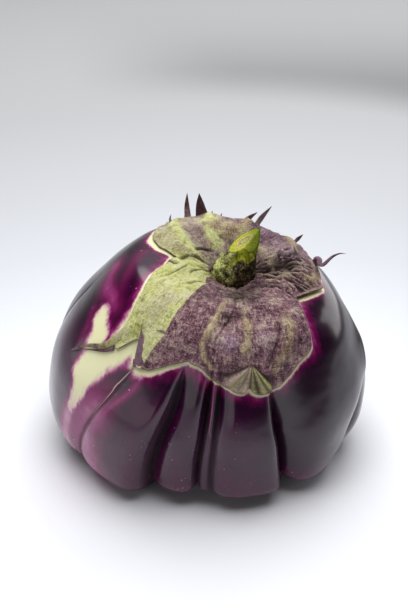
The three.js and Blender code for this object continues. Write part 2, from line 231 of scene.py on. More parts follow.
def place(azimuth, reach, lift=0.0):
    """A point over the skin at an azimuth and a reach."""
    return skin_point(*column_at(azimuth), np.asarray(reach, float), lift)


def distance_to_path(path, points):
    """The same as distance_to, for a smooth path over the skin through (azimuth, reach)."""
    curve = curve_through(path, steps=8)
    return distance_to(place(curve[:, 0], curve[:, 1]), points)


print("top of the shoulder behind the stalk:", np.round(place(180, 26), 1), "mm")


# %% [markdown]
# ## From rings of points to a mesh
#
# Fruit, calyx, tips and stalk are all closed skins stretched over rings of points, with one point
# at each end. One function builds them all. It also stores named values on the points, such as the
# distance to the edge of the calyx. The finishes read them later, so that colour follows the shape.

# %% Build a closed mesh over rings
def with_ends(first, numbers, last, hidden=0):
    """Numbers for all points: the first, those in between, and the hidden ones with the last."""
    return np.concatenate([[first], numbers, np.full(hidden + 1, last, float)])


def mesh_over_rings(name, rings, values):
    """A smooth closed object over rings of points in mm; the first and last ring are one point."""
    count = len(rings[1])
    points = np.vstack(rings)
    here = np.arange(count)
    after = (here + 1) % count
    first, last = 1, len(points) - 1 - count
    faces = [(0, first + a, first + b) for a, b in zip(here, after)]
    for start in range(first, last, count):
        below = start + count
        faces += zip(start + here, below + here, below + after, start + after)
    faces += [(last + a, len(points) - 1, last + b) for a, b in zip(here, after)]
    mesh = bpy.data.meshes.new(name)
    mesh.from_pydata((points * MM).tolist(), [], [tuple(map(int, face)) for face in faces])
    mesh.shade_smooth()
    for value_name, numbers in values.items():
        layer = mesh.attributes.new(value_name, "FLOAT", "POINT")
        layer.data.foreach_set("value", np.asarray(numbers, np.float32))
    built = bpy.data.objects.new(name, mesh)
    bpy.context.scene.collection.objects.link(built)
    print(name, "has", len(points), "points and", sum(len(f) - 2 for f in faces), "triangles")
    return built


# %% [markdown]
# ## The edge of the calyx
#
# The sepals are grown together into one cap, whose edge runs in and out around the fruit. Two
# things need that edge: the cap itself, and the pale line that the skin keeps where the cap shaded
# it. So it comes first.

# %% The edge as azimuth and reach
CALYX_EDGE = np.array([
    (-164, 40), (-147, 39), (-132, 36), (-119, 35), (-105, 32), (-95.5, 28.5), (-87, 22),
    (-81, 24.5), (-71, 26.5), (-63, 31.5), (-53.5, 38), (-49, 46), (-46, 57), (-43.5, 58.5),
    (-41, 54), (-38, 50.5), (-35.5, 56), (-32, 59.5), (-28, 58.5), (-21.5, 53.5), (-16.5, 51),
    (-11, 52), (-6.8, 54.5), (2.6, 58.3), (4.6, 57.8), (6.1, 55.8),
    (7, 57.4), (9, 58.6), (15.5, 57.5), (19, 56.2), (27, 50.5),
    (35.5, 47), (37.5, 40), (39.5, 35), (43, 30.5), (53, 32), (66, 35), (73, 34), (91, 35.5),
    (101, 35), (124, 38.5), (136, 35), (151, 38), (168, 41), (182, 38)])
EDGE_STEP, EDGE_ROUNDING = 0.1, 0.5  # degrees between its points, and that its corners round over
ROUNDING_STEPS = 20  # to each side
EDGE_RAGGEDNESS, RAGGED_SIZE = 0.35, 2.2  # how far the edge strays and over what length, in mm

edge_azimuth = np.arange(-180, 180, EDGE_STEP)
edge_reach = np.interp(edge_azimuth, CALYX_EDGE[:, 0], CALYX_EDGE[:, 1], period=360)
window = np.arange(-ROUNDING_STEPS, ROUNDING_STEPS + 1) * EDGE_STEP
window = np.exp(-0.5 * (window / EDGE_ROUNDING) ** 2)
wrapped = np.concatenate([edge_reach[-ROUNDING_STEPS:], edge_reach, edge_reach[:ROUNDING_STEPS]])
edge_reach = np.convolve(wrapped, window / window.sum(), mode="valid")
edge_reach += EDGE_RAGGEDNESS * unevenness(place(edge_azimuth, edge_reach), RAGGED_SIZE, seed=3)


def edge_at(azimuth):
    """Reach of the calyx's edge at an azimuth."""
    return np.interp(azimuth, edge_azimuth, edge_reach, period=360)


edge_line = place(edge_azimuth, edge_reach)
edge_steps = np.linalg.norm(np.diff(edge_line, axis=0, append=edge_line[:1]), axis=1)
print("the edge of the calyx is", round(edge_steps.sum()), "mm long")

# %% [markdown]
# ## The fruit's surface
#
# Columns of points run down the fruit and stand closer near the grooves, where the skin turns
# sharply. Rings go round it, close where the skin shows and far apart under the cap and under the
# foot. Then the whole skin gets a slow waviness, because a grown skin is never quite regular, and
# reflections in a perfect one look like plastic. Last, everything below the table is pressed flat.

# %% Columns, rings and waviness of the fruit
FRONT_SPACING, BACK_SPACING = 0.9, 1.9  # mm between columns, measured over the skin
FRONT_LOBES = (-60, 90)  # the lobes in front reach the foot between these azimuths
SPACING_REACH = 84  # at this reach, where the grooves are deepest
GROOVE_CROWDING = 0.6  # 0 spreads the columns evenly, 1 crowds them into the grooves
FEWEST_COLUMNS = 5  # on one lobe
HIDDEN_RINGS, SIDE_RINGS, FOOT_RINGS = 12, 158, 12
HIDDEN_REACH, FOOT_REACH = 26, 139
WAVINESS = [(19, 0.42), (8, 0.13), (3.2, 0.03)]  # size and height in mm

column_lobe, column_share = [], []
fine_share = np.linspace(0, 1, 401)
for lobe in range(len(GROOVES)):
    across = skin_point(lobe, fine_share, SPACING_REACH)
    walked = np.append(0, np.cumsum(np.linalg.norm(np.diff(across, axis=0), axis=1)))
    in_front = FRONT_LOBES[0] < all_grooves[lobe, 1] < FRONT_LOBES[1]
    steps = max(FEWEST_COLUMNS, round(walked[-1] / (FRONT_SPACING if in_front else BACK_SPACING)))
    step_share = np.arange(steps) / steps
    near_grooves = (1 - np.cos(np.pi * step_share)) / 2
    even = walked[-1] * mix(step_share, near_grooves, GROOVE_CROWDING)
    column_share.append(np.interp(even, walked, fine_share))
    column_lobe.append(np.full(steps, lobe))
column_lobe, column_share = np.concatenate(column_lobe), np.concatenate(column_share)
print("columns down the fruit:", len(column_lobe))
ring_reach = np.concatenate([
    np.linspace(0, HIDDEN_REACH, HIDDEN_RINGS, endpoint=False)[1:],
    np.linspace(HIDDEN_REACH, FOOT_REACH, SIDE_RINGS, endpoint=False),
    np.linspace(FOOT_REACH, SKIN_LENGTH, FOOT_RINGS, endpoint=False)])

fruit_lobe = np.tile(column_lobe, len(ring_reach))
fruit_share = np.tile(column_share, len(ring_reach))
fruit_reach = np.repeat(ring_reach, len(column_lobe))
plain_skin = skin_point(fruit_lobe, fruit_share, fruit_reach)
waves = sum(height * unevenness(plain_skin, size, seed=size) for size, height in WAVINESS)
skin = skin_point(fruit_lobe, fruit_share, fruit_reach, waves)
skin[:, 2] = np.maximum(skin[:, 2], 0)
print("waves in the skin reach", round(float(np.abs(waves).max()), 2), "mm")

# %% [markdown]
# ## Where the skin is pale
#
# The violet of the skin is made by light. Where a sepal lay on it while it grew, the skin stays
# cream, and around that it is magenta. So the colour needs a few measures for each point of the
# skin: how far outside the calyx's edge it is, how deep inside the cream patch on the left, how much
# the area around it blushes, and how far it is from the thin pale lines that follow the grooves.

# %% Measures for the skin's colour
PALE_PATCHES = [
    [(-67.6, 53.5), (-66, 58), (-61, 61), (-59, 64), (-56, 67.6), (-55, 72.8), (-53, 76.5),
     (-50, 78), (-47.2, 84), (-46.2, 88.4), (-43.6, 90), (-42.6, 87), (-42, 82), (-42.6, 76),
     (-41.5, 70), (-41.3, 66.4), (-39.3, 62.4), (-37.4, 59.2), (-36.6, 54), (-39.3, 50),
     (-42.3, 52.8), (-45.2, 56), (-48, 59.5), (-51.5, 60.8), (-52.2, 58.5), (-54.5, 56.4),
     (-58.5, 54.6), (-62, 52.2), (-65.5, 51)],
    [(-37, 56), (-35, 58), (-34.8, 60.6), (-30.5, 62.2), (-28.6, 59.6), (-30, 57), (-35, 55)]]
PALE_BANDS = [  # half width in mm, and the path as azimuth and reach
    (0.8, [(-53.5, 38), (-50.6, 43.5), (-49, 49)]), (1.6, [(-50, 47), (-49, 52.5), (-49, 57)])]
BLUSHES = [  # how little pigment there is in the middle, width in mm, and the path
    (0.36, 20, [(-36, 80), (-34, 92), (-30, 108)]),
    (0.31, 9, [(-44, 89), (-43.5, 98), (-42, 110)]),
    (0.42, 9, [(-62, 49), (-68, 48), (-76, 49), (-88, 45)]),
    (0.34, 3.5, [(-62, 33), (-58, 38), (-55, 42)]),
    (0.54, 4.5, [(-72, 57), (-66, 61.5), (-62.5, 66.5)]),
    (0.44, 3.6, [(-28.5, 62), (-29.5, 69), (-31, 77), (-31.5, 90)]),
    (0.42, 4, [(-58, 56), (-56.5, 60), (-54.5, 62)]),
    (0.62, 6, [(-90, 34), (-78, 38), (-66, 44)]),
    (0.80, 7, [(60, 104), (30, 112), (8, 114), (-14, 112), (-30, 114)])]
THIN_LINES = {  # path as azimuth and reach, from the calyx down
    "line_left": [(-33, 58), (-34.6, 68.8), (-33.8, 78), (-33.4, 86)],
    "line_front": [(-5.9, 54), (-5.6, 64.8), (-5.2, 76)],
    "line_front_2": [(-7.4, 54), (-6.8, 66), (-6.2, 78)]}
FRINGE_WIDTH = np.array([  # azimuth, and how far the magenta fringe reaches out from the edge
    (-180, 3), (-100, 5), (-75, 5), (-60, 6), (-48, 6), (-36, 6.5), (-26, 6), (-15, 6.5), (-10, 6.5),
    (-5, 5), (3, 4.2), (6, 5.2), (10, 4.2), (20, 5), (29, 4.5), (35, 5), (40, 5.8), (46, 5), (53, 3.5),
    (90, 2.5), (150, 3)])
CREAM_WIDTH = np.array([  # azimuth, and how wide the cream line along the edge is, in mm
    (-180, 0.8), (-112, 1.0), (-102, 1.9), (-92, 1.5), (-80, 0.5), (-66, 0.8), (-55, 1.4), (-46, 1.2),
    (-36, 1.9), (-28, 1.7), (-21, 1.2), (-16, 0.9), (-10, 0.7), (3, 0.6), (8, 0.8), (20, 1.0),
    (35, 1.0), (38, 0.5), (50, 1.2), (75, 1.0), (90, 0.6), (150, 0.8)])


def inside(outline_points, azimuth, reach):
    """Whether each place lies inside an outline drawn on the skin."""
    found = np.zeros(len(azimuth), bool)
    ring = list(zip(outline_points, outline_points[1:] + outline_points[:1]))
    for (a0, r0), (a1, r1) in ring:
        spans = (r0 > reach) != (r1 > reach)
        crossing = a0 + (reach - r0) * (a1 - a0) / (r1 - r0 + 1e-9)
        found ^= spans & (azimuth < crossing)
    return found


def depth_inside(outline_points, azimuth, reach, points):
    """How many mm inside an outline each point is, negative outside."""
    gap, _ = distance_to_path(outline_points + outline_points[:1], points)
    return np.where(inside(outline_points, azimuth, reach), gap, -gap)


fruit_azimuth = mix(all_grooves[fruit_lobe, 0], all_grooves[fruit_lobe + 1, 0], fruit_share)
fruit_azimuth = np.mod(fruit_azimuth + 180, 360) - 180
gap, _ = distance_to(edge_line[::4], plain_skin)
outside_edge = np.where(fruit_reach > edge_at(fruit_azimuth), gap, -gap)
fringe = outside_edge / np.interp(fruit_azimuth, *FRINGE_WIDTH.T, period=360)
cream = outside_edge / np.interp(fruit_azimuth, *CREAM_WIDTH.T, period=360)
pale = np.max([depth_inside(patch, fruit_azimuth, fruit_reach, plain_skin)
               for patch in PALE_PATCHES], axis=0)
for half_width, path in PALE_BANDS:
    gap, _ = distance_to_path(path, plain_skin)
    pale = np.maximum(pale, half_width - gap)

# %% Blushes, thin lines and grooves
LEFT_SIDE_LIGHTER, LEFT_SIDE_END = 0.13, 12  # less pigment on the left, up to this azimuth
LEFT_SIDE_START, LEFT_SIDE_GROWTH = 56, 16  # the reach where that begins, and over what length
MM_PER_DEGREE = 0.95  # across the skin, where the thin lines are
LINE_FADE = 0.6  # a line fades as if its lower end were this many mm further away
SEAM_WIDTH, SEAM_START, SEAM_GROWTH = 0.9, 54, 8  # the bottom of a groove, in mm, painted dark as shade and made rougher

blush = np.ones(len(plain_skin))
for pigment_left, width, path in BLUSHES:
    gap, _ = distance_to_path(path, plain_skin)
    blush = np.minimum(blush, mix(pigment_left, 1, smooth(gap / width)))
left_side = smooth(0.5 - 2 * np.sin(np.radians(fruit_azimuth - LEFT_SIDE_END)))
left_side *= smooth((fruit_reach - LEFT_SIDE_START) / LEFT_SIDE_GROWTH)
blush = np.minimum(blush, 1 - LEFT_SIDE_LIGHTER * left_side)
beside_lines = {}
for name, path in THIN_LINES.items():
    line_azimuth = np.interp(fruit_reach, [r for _, r in path], [a for a, _ in path])
    beyond = np.maximum(path[0][1] - fruit_reach, fruit_reach - path[-1][1])
    faded = smooth((fruit_reach - path[0][1]) / (path[-1][1] - path[0][1])) ** 2
    beside_lines[name] = (fruit_azimuth - line_azimuth) * MM_PER_DEGREE
    beside_lines[name] += np.sign(beside_lines[name]) * (np.maximum(beyond, 0) + LINE_FADE * faded)
lobe_width = all_grooves[fruit_lobe + 1, 0] - all_grooves[fruit_lobe, 0]
from_groove = np.minimum(fruit_share, 1 - fruit_share) * lobe_width * MM_PER_DEGREE
in_groove = hump(from_groove, SEAM_WIDTH) * smooth((fruit_reach - SEAM_START) / SEAM_GROWTH)
print("skin that is inside a pale patch:", int((pale > 0).sum()), "points")

# %% Build the fruit
top_point = skin_point(0, 0.0, 0.0)[None]
fruit_rings = [top_point, *np.split(skin, len(ring_reach)), np.zeros((1, 3))]
fruit = mesh_over_rings("fruit_skin", fruit_rings, {
    "cream": with_ends(-40, cream, 100),
    "fringe": with_ends(-10, fringe, 20),
    "pale": with_ends(-50, pale, -50),
    "blush": with_ends(1, blush, 1),
    "reach": with_ends(0, fruit_reach, SKIN_LENGTH),
    "in_groove": with_ends(0, in_groove, 0),
    **{name: with_ends(50, beside, 50) for name, beside in beside_lines.items()}})

# %% [markdown]
# ## The calyx
#
# The cap is thick and fleshy round the stalk and thins out to a dry edge. Raised ribs run from the
# stalk out to the tips, the sepal between them puffs up, and near the stalk it is gathered in
# folds, because it has begun to dry. All of that could be left to the finish, but it is big enough
# to change the outline and to cast shadows, so it is real shape here: the top of the cap is lifted
# off the skin by a sum of small heights.

# %% Driving dimensions of the calyx
CALYX_GAP = 0.3
CALYX_THICKNESS, CALYX_EDGE_THICKNESS, CALYX_TAPER = 2.5, 0.6, 9
COLLAR_RISE, COLLAR_REACH, COLLAR_FADE = 0.6, 7, 9
CALYX_DRAPE = 0.8  # share of each groove of the fruit that the top of the calyx follows
CALYX_COLUMNS, CALYX_RINGS, UNDER_RINGS = 550, 165, 8
RIBS = [  # half width and height in mm, how pale it is, and the path as azimuth and reach
    (1.0, 0.75, 0.75, [(-3, 26), (-4.3, 28.8), (-7.4, 33.3), (-10.2, 38.5), (-12.3, 43.4), (-11, 47.9),
                       (-8.6, 50.3), (-6, 53)]),
    (1.1, 0.4, 0.75, [(3.5, 26), (4.5, 32.6), (5.9, 37.1), (6.2, 39.6), (5.5, 42.3), (4.3, 44.4),
                      (3.4, 46.8)]),
    (1.9, 0.55, 0.7, [(25, 26), (26.1, 33.3), (26.1, 39.2), (24.4, 42), (22, 45.1), (19.5, 47.5),
                      (17, 50.7), (15.3, 53.4)]),
    (1.7, 1.0, 1.0, [(-98, 13), (-103.6, 16.7), (-110, 22.2), (-120, 27), (-132, 33), (-142, 36.5)]),
    (2.6, 1.2, 1.0, [(-140, 11), (-150, 17), (-153, 24), (-161, 33), (-163, 39)]),
    (1.8, 0.9, 0.9, [(-170, 14), (176.6, 21.5), (167, 26), (164, 36.4), (163, 40)]),
    (1.9, 1.0, 0.8, [(92, 25.5), (103, 28), (112, 31), (122, 33.5), (132, 35)]),
    (1.3, 1.0, 0.8, [(60, 26.5), (64, 29.5), (69.2, 32.2), (85.5, 33.6), (97, 34.4)]),
    (1.0, 0.9, 0.4, [(56, 11), (59.5, 14), (57.4, 18), (58.4, 22), (58.4, 26)]),
    (0.8, 0.7, 0.3, [(40, 13), (44.4, 16.8), (47, 21), (50.9, 26.8)]),
    (0.8, 0.5, 0.7, [(-66, 19), (-55, 24), (-48.3, 29.5), (-49.1, 33.3), (-47.6, 37), (-46.1, 42)])]
PUFFS = [  # azimuth, reach, half width and height of a swelling or, below zero, a dip
    (-1.7, 42.5, 4.2, 1.5), (12.6, 41, 4.6, 1.2), (-20, 41, 5.5, 0.7), (31, 36, 3.5, 0.5),
    (-38, 38, 6, 1.1), (-112, 28, 4, 0.7), (-140, 27, 5, 0.8), (-176, 28, 5, 0.9),
    (140, 28, 6, 0.9), (84, 29, 4, 0.8), (110, 20.5, 4.5, 1.1), (6, 17, 8, -2.2), (0, 26, 4, -0.5)]
CREASES = [  # half width and depth in mm, and the path as azimuth and reach
    (0.45, 0.45, [(22.5, 36), (21.1, 38.9), (18.6, 42), (16.2, 45.5), (13.5, 49.5)]),
    (0.6, 0.12, [(-22, 21), (-24, 26.7), (-25.2, 33.7), (-25.8, 40), (-26.8, 46.8), (-27.8, 54)]),
    (0.5, 0.3, [(1, 27), (-0.5, 33), (-4.5, 38.5), (-7.5, 43), (-7, 47)]),
    (0.9, 1.9, [(-88, 24), (-79.4, 25.4), (-75.7, 23.8), (-71, 22.3)]),
    (1.7, 1.7, [(94, 18.5), (85.7, 21.6), (80.6, 23.2), (74.6, 24.4), (70, 26)]),
    (0.8, 1.1, [(88, 8), (74.6, 12.4), (71.4, 17.6), (70.3, 20.8), (66, 24.8)]),
    (1.7, 1.9, [(88, 8), (84, 11), (78, 14.5), (74, 18), (80, 21.5), (85.5, 23.3), (95, 24)]),
    (0.9, 1.2, [(24, 12), (31, 15), (33.6, 18), (34.5, 21.2), (37.9, 24), (42.3, 26.5), (42, 29),
                (40.1, 31.2)]),
    (0.5, 0.6, [(50, 12), (51, 18), (53, 24)]),
    (0.6, 0.7, [(-112, 18), (-122, 17.4), (-132, 15.6), (-142, 14)]),
    (0.5, 0.6, [(-45, 23), (-57, 19), (-68.6, 12.4), (-72, 8)]),
    (0.6, 0.5, [(-18, 16), (-24, 18.4), (-32.4, 23.2), (-38.4, 30)]),
    (0.6, 0.7, [(-104, 10), (-100, 14), (-92, 19), (-84, 21.5)]),
    (0.5, 0.6, [(-72, 19), (-60, 22.5), (-53, 27), (-52.5, 32)])]

# %% Columns and rings of the calyx
edge_walk = np.append(0, np.cumsum(edge_steps))
turn_walk = np.append(edge_azimuth, 180)
even_walk = np.linspace(0, edge_walk[-1], CALYX_COLUMNS, endpoint=False)
cap_azimuth = np.interp(even_walk, edge_walk, turn_walk)
cap_edge = edge_at(cap_azimuth)
cap_lobe, cap_share = column_at(cap_azimuth)
shares = np.arange(1, CALYX_RINGS + 1) / CALYX_RINGS
cap_reach = np.outer(shares, cap_edge)
grid_azimuth = np.broadcast_to(cap_azimuth, cap_reach.shape).ravel()
grid_edge = np.broadcast_to(cap_edge, cap_reach.shape).ravel()
grid_reach = cap_reach.ravel()
from_edge_mm = grid_edge - grid_reach
grid_lobe, grid_share = column_at(grid_azimuth)
on_skin = skin_point(grid_lobe, grid_share, grid_reach, 0.0, CALYX_DRAPE)
print("points on top of the calyx:", len(on_skin))


# %% Ribs, puffs and creases
def cap_thickness(reach, edge):
    inner = smooth((edge - reach) / CALYX_TAPER)
    collar = COLLAR_RISE * (1 - smooth((reach - COLLAR_REACH) / COLLAR_FADE))
    return mix(CALYX_EDGE_THICKNESS, CALYX_THICKNESS, inner) + collar


def away_from(azimuth, reach):
    """How far each point of the calyx is from a place on it."""
    return np.linalg.norm(on_skin - place(azimuth, reach), axis=1)


def humps_at(rows):
    """A sum of humps on the calyx; a row is azimuth, reach, half width and height."""
    return sum(height * hump(away_from(azimuth, reach), half_width)
               for azimuth, reach, half_width, height in rows)


def fading_ends(along, start, end):
    """1 along a path, but falling to 0 over these shares of its length at its ends."""
    return smooth(along / start) * smooth((1 - along) / end)


WANDER, WANDER_SIZE = 0.5, 2.6  # mm; ribs and creases are never quite straight
RIB_ENDS, CREASE_ENDS = (0.3, 0.1), (0.2, 0.2)  # shares of the length over which they fade
RIB_PALENESS_SPREAD, CREASE_DARKNESS_SPREAD = 1.5, 1.2  # the colour is this much wider than the shape
DARK_DEPTH = 0.8  # mm; a crease this deep is fully dark

wander = WANDER * unevenness(on_skin, WANDER_SIZE, seed=21)
rib_height, rib_pale = np.zeros(len(on_skin)), np.zeros(len(on_skin))
for half_width, height, paleness, path in RIBS:
    gap, along = distance_to_path(path, on_skin)
    gap = np.maximum(gap + wander, 0)
    ends = fading_ends(along, *RIB_ENDS)
    rib_height = np.maximum(rib_height, height * hump(gap, half_width) * ends)
    rib_pale = np.maximum(rib_pale, paleness * hump(gap, RIB_PALENESS_SPREAD * half_width) * ends)

# Creases are darkened too: crease_dark is painted shade along them.
crease_depth, crease_dark = np.zeros(len(on_skin)), np.zeros(len(on_skin))
for half_width, depth, path in CREASES:
    gap, along = distance_to_path(path, on_skin)
    ends = fading_ends(along, *CREASE_ENDS)
    gap = gap + 0.3 * np.abs(wander)
    crease_depth = np.maximum(crease_depth, depth * hump(gap, half_width) * ends)
    shade = min(depth / DARK_DEPTH, 1) * hump(gap, CREASE_DARKNESS_SPREAD * half_width)
    crease_dark = np.maximum(crease_dark, shade * ends)
print("the highest rib is", round(float(rib_height.max()), 2), "mm")

# %% [markdown]
# The wrinkles need a direction. Round the stalk they are folds that all point at it, and further
# out they are fine ripples across the sepal. Noise that is measured along the azimuth and the reach,
# instead of in space, stretches by itself in the right way: narrow near the stalk and wide outside.
# Folding noise over at zero gives it the sharp crests of gathered skin.

# %% Folds, crumples and ripples
GATHERING = np.array([  # azimuth, how strongly the calyx is gathered there, and out to what reach
    (-180, 0.45, 20), (-130, 0.55, 20), (-100, 0.75, 22), (-70, 0.7, 22), (-45, 0.45, 22),
    (-25, 0.5, 26), (0, 0.6, 28), (30, 0.8, 27), (45, 1.5, 30), (70, 1.7, 32), (88, 1.5, 28),
    (104, 0.7, 22), (130, 0.5, 22), (160, 0.45, 20)])
LEAF_RADIUS = 22  # mm; the sepals as if they were rolled up into a tube of this size
FOLDS = [(0.95, 2.6, 10, 1), (0.45, 1.3, 5, 12)]  # height, size across and along in mm, and seed
RIPPLES = [(0.15, 3.2, 1.0, 2), (0.15, 0.95, 4.0, 15)]
SMOOTH_CORE, CORE_GROWTH = 4, 5  # mm of reach round the stalk without folds, and where they grow
FOLD_OVERRUN, FOLD_FADE = 3, 9  # the folds end this far beyond their reach, and over what length
SPIKES = [(56, 29, 4.5, 1.9), (75, 24, 4, 0.9)]  # azimuth, reach, half width and height
PUFF, ARC_HEIGHT, ARC_SPACING = (12.6, 40), 0.11, 1.2  # fine arcs run round one of the puffs
ARC_RADIUS, ARC_WIDTH, ARC_START = 5, 2, 41
turn = np.radians(grid_azimuth)
leaf_x, leaf_y = LEAF_RADIUS * np.cos(turn), LEAF_RADIUS * np.sin(turn)


def leaf_noise(across, along, seed):
    """Unevenness that is stretched along the sepals: its size across and along them, in mm."""
    rolled_up = np.stack([leaf_x / across, leaf_y / across, grid_reach / along], axis=1)
    return unevenness(rolled_up, 1.0, seed)


def crests(values):
    """Turns smooth noise into sharp crests with broad hollows between them."""
    return 0.5 - 2 * np.abs(values)


gathered = np.interp(grid_azimuth, GATHERING[:, 0], GATHERING[:, 1], period=360)
fold_end = np.interp(grid_azimuth, GATHERING[:, 0], GATHERING[:, 2], period=360)
near_stalk = smooth((grid_reach - SMOOTH_CORE) / CORE_GROWTH)
near_stalk *= smooth((fold_end + FOLD_OVERRUN - grid_reach) / FOLD_FADE)
folds = gathered * mix(0.12, 1, near_stalk) * sum(
    height * crests(leaf_noise(across, along, seed)) for height, across, along, seed in FOLDS)
crumple = gathered * 0.32 * crests(unevenness(on_skin, 3.2, seed=13))
spiky = np.maximum(crests(leaf_noise(1.5, 5, seed=14)), -0.3)
spiky *= humps_at(SPIKES)
ripples = sum(height * leaf_noise(across, along, seed) for height, across, along, seed in RIPPLES)
grain = 0.12 * unevenness(on_skin, 1.0, seed=4)
slow_bumps = 0.4 * unevenness(on_skin, 5.0, seed=5)
from_puff = away_from(*PUFF)
arcs = ARC_HEIGHT * np.sin(2 * np.pi * from_puff / ARC_SPACING)
arcs *= hump(from_puff - ARC_RADIUS, ARC_WIDTH) * (grid_reach > ARC_START)
print("folds reach", round(float(folds.max()), 2), "mm")

# %% [markdown]
# The sepal at the front ends in a small fan: a dried tip that lies flat on the cap, pleated from
# its point outwards. At the right, another tip has rolled up into a knob.

# %% The pleated fan and the rolled knob
FAN_POINT = (7.1, 49)
FAN_MM_PER_DEGREE = 0.84
FAN_LEFT, FAN_RIGHT, FAN_LENGTH = -64, 47, 9.5  # two angles in degrees, and mm
FAN_RISE, FAN_SIDE = 0.75, 7  # mm that it stands up, and degrees over which its sides fall
PLEAT_HEIGHT, PLEATS_PER_RADIAN = 0.55, 10.5
KNOB_PLACE, KNOB_RADIUS = (97.8, 25.6), 1.45
KNOB_RING, KNOB_MOUND = (1.9, 0.62), (0.5, 2.6)  # height and half width of a ring on a mound

fan_across = (grid_azimuth - FAN_POINT[0]) * FAN_MM_PER_DEGREE
fan_down = grid_reach - FAN_POINT[1]
fan_angle = np.degrees(np.arctan2(fan_across, fan_down))
fan_reach = np.hypot(fan_across, fan_down)
fan = (smooth((fan_angle - FAN_LEFT) / FAN_SIDE) * smooth((FAN_RIGHT - fan_angle) / FAN_SIDE)
       * (fan_down > -0.5) * smooth((FAN_LENGTH + 1.5 - fan_reach) / 2))
pleats = PLEAT_HEIGHT * np.cos(np.radians(fan_angle + 6) * PLEATS_PER_RADIAN)
pleats *= smooth(fan_reach / 5)
fan_height = fan * (FAN_RISE * smooth(fan_reach / 3) + pleats)
fan_shadow = hump(fan_angle - FAN_LEFT, 7) + hump(fan_angle - FAN_RIGHT, 6)
fan_shadow *= (fan_down > 0) * smooth((FAN_LENGTH - fan_reach) / 2)

from_knob = away_from(*KNOB_PLACE)
knob = KNOB_RING[0] * hump(from_knob - KNOB_RADIUS, KNOB_RING[1])
knob += KNOB_MOUND[0] * hump(from_knob, KNOB_MOUND[1])
knob_tint = hump(from_knob, 2.2)
# The middle of the rolled knob, and further down a ring beside it, get painted shade.
knob_hollow = hump(from_knob, 0.7)

# %% Put the heights together
LIP_WIDTH, LIP_HEIGHT = 1.1, 0.22
# Right of the front sepal the edge stands up like a flap, by this many mm. Each end is given as an
# azimuth and the degrees over which it rises or falls.
FLAP_HEIGHT, FLAP_LEFT, FLAP_RIGHT = 0.5, (37, 4), (75, 12)
CALM_EDGE = 3  # mm; towards the edge the relief gets lower
SKYLINE_HEIGHT, SKYLINE_WIDTH, SKYLINE_AZIMUTH = 1.6, 3, 105  # the edge at the back is crumpled
FAN_PRESSES = 0.6  # the fan hides this share of the relief under it
THINNEST = 0.3  # mm

inside_edge = smooth(from_edge_mm / CALM_EDGE)
lip_noise = 1 + 1.2 * unevenness(on_skin, 3.0, seed=16)
flap_lift = FLAP_HEIGHT * smooth((grid_azimuth - FLAP_LEFT[0]) / FLAP_LEFT[1])
flap_lift *= 1 - smooth((grid_azimuth - FLAP_RIGHT[0]) / FLAP_RIGHT[1])
lip = (LIP_HEIGHT * lip_noise + flap_lift) * hump(from_edge_mm, LIP_WIDTH)
skyline = hump(from_edge_mm, SKYLINE_WIDTH) * smooth((np.abs(grid_azimuth) - SKYLINE_AZIMUTH) / 15)
skyline *= np.maximum(unevenness(on_skin, 2.4, seed=17), 0) * SKYLINE_HEIGHT
relief = (rib_height + humps_at(PUFFS) + folds + crumple + spiky + slow_bumps + arcs) * inside_edge
relief += skyline
relief += (ripples + grain) * mix(0.5, 1, inside_edge) - crease_depth + knob
relief = relief * (1 - FAN_PRESSES * fan) + fan_height + lip
base_lift = CALYX_GAP + cap_thickness(grid_reach, grid_edge)
top_lift = np.maximum(base_lift + relief, CALYX_GAP + THINNEST)
cap_top = skin_point(grid_lobe, grid_share, grid_reach, top_lift, CALYX_DRAPE)
print("the calyx stands", round(float(top_lift.max()), 1), "mm off the skin at most")


# %% Where the calyx is hollow and where it stands out
def blurred(values, rings, columns):
    """The grid of heights, averaged over a few rings and columns."""
    grid = values.reshape(CALYX_RINGS, CALYX_COLUMNS)
    steps = range(-columns, columns + 1)
    grid = sum(np.roll(grid, step, axis=1) for step in steps) / len(steps)
    padded = np.pad(grid, ((rings, rings), (0, 0)), mode="edge")
    return sum(padded[k:k + CALYX_RINGS] for k in range(2 * rings + 1)).ravel() / (2 * rings + 1)


HOLLOWS = [(4, 2, 0.22), (12, 6, 0.6)]  # rings and columns, and the mm that count as fully out
# The cavity measure is painted light and shade: it makes crests paler and hollows darker in the tone.
cavity = 0
for rings, columns, full in HOLLOWS:
    cavity = cavity + np.clip((relief - blurred(relief, rings, columns)) / full, -1, 1) * 0.6
print("hollow points of the calyx:", int((cavity < -0.5).sum()))

# %% [markdown]
# The colours of the calyx come from where each part grew. The sepal on the left was shaded and
# stayed yellow-green, the front one took violet from the sun, and those at the back carry a grey
# bloom. A few measures, kept on the points, say how much of each there is.

# %% How green and how dusty each part of the calyx is
GREEN_BORDER = np.array([  # reach, and the azimuth where the green of the left sepal ends
    (0, -60), (14, -45), (19, -32), (23, -25.8), (26.7, -25.3), (33.7, -26.4), (42, -27.3),
    (46.8, -27.9), (51.4, -29), (60, -29.8)])
TINTS = np.array([  # azimuth, how green, and how dusty with bloom
    (-180, 0.12, 0.5), (-168, 0.2, 0.55), (-145, 0.4, 0.75), (-128, 0.45, 0.8), (-115, 0.7, 0.5),
    (-98, 0.72, 0.5), (-88, 1, 0.15), (-30, 1, 0.05), (-22, 0, 0), (36, 0, 0), (55, 0, 0),
    (75, 0, 0), (92, 0, 0.1), (104, 0, 0.05), (118, 0.05, 0.1), (135, 0, 0), (155, 0, 0.08),
    (168, 0.12, 0.5)])
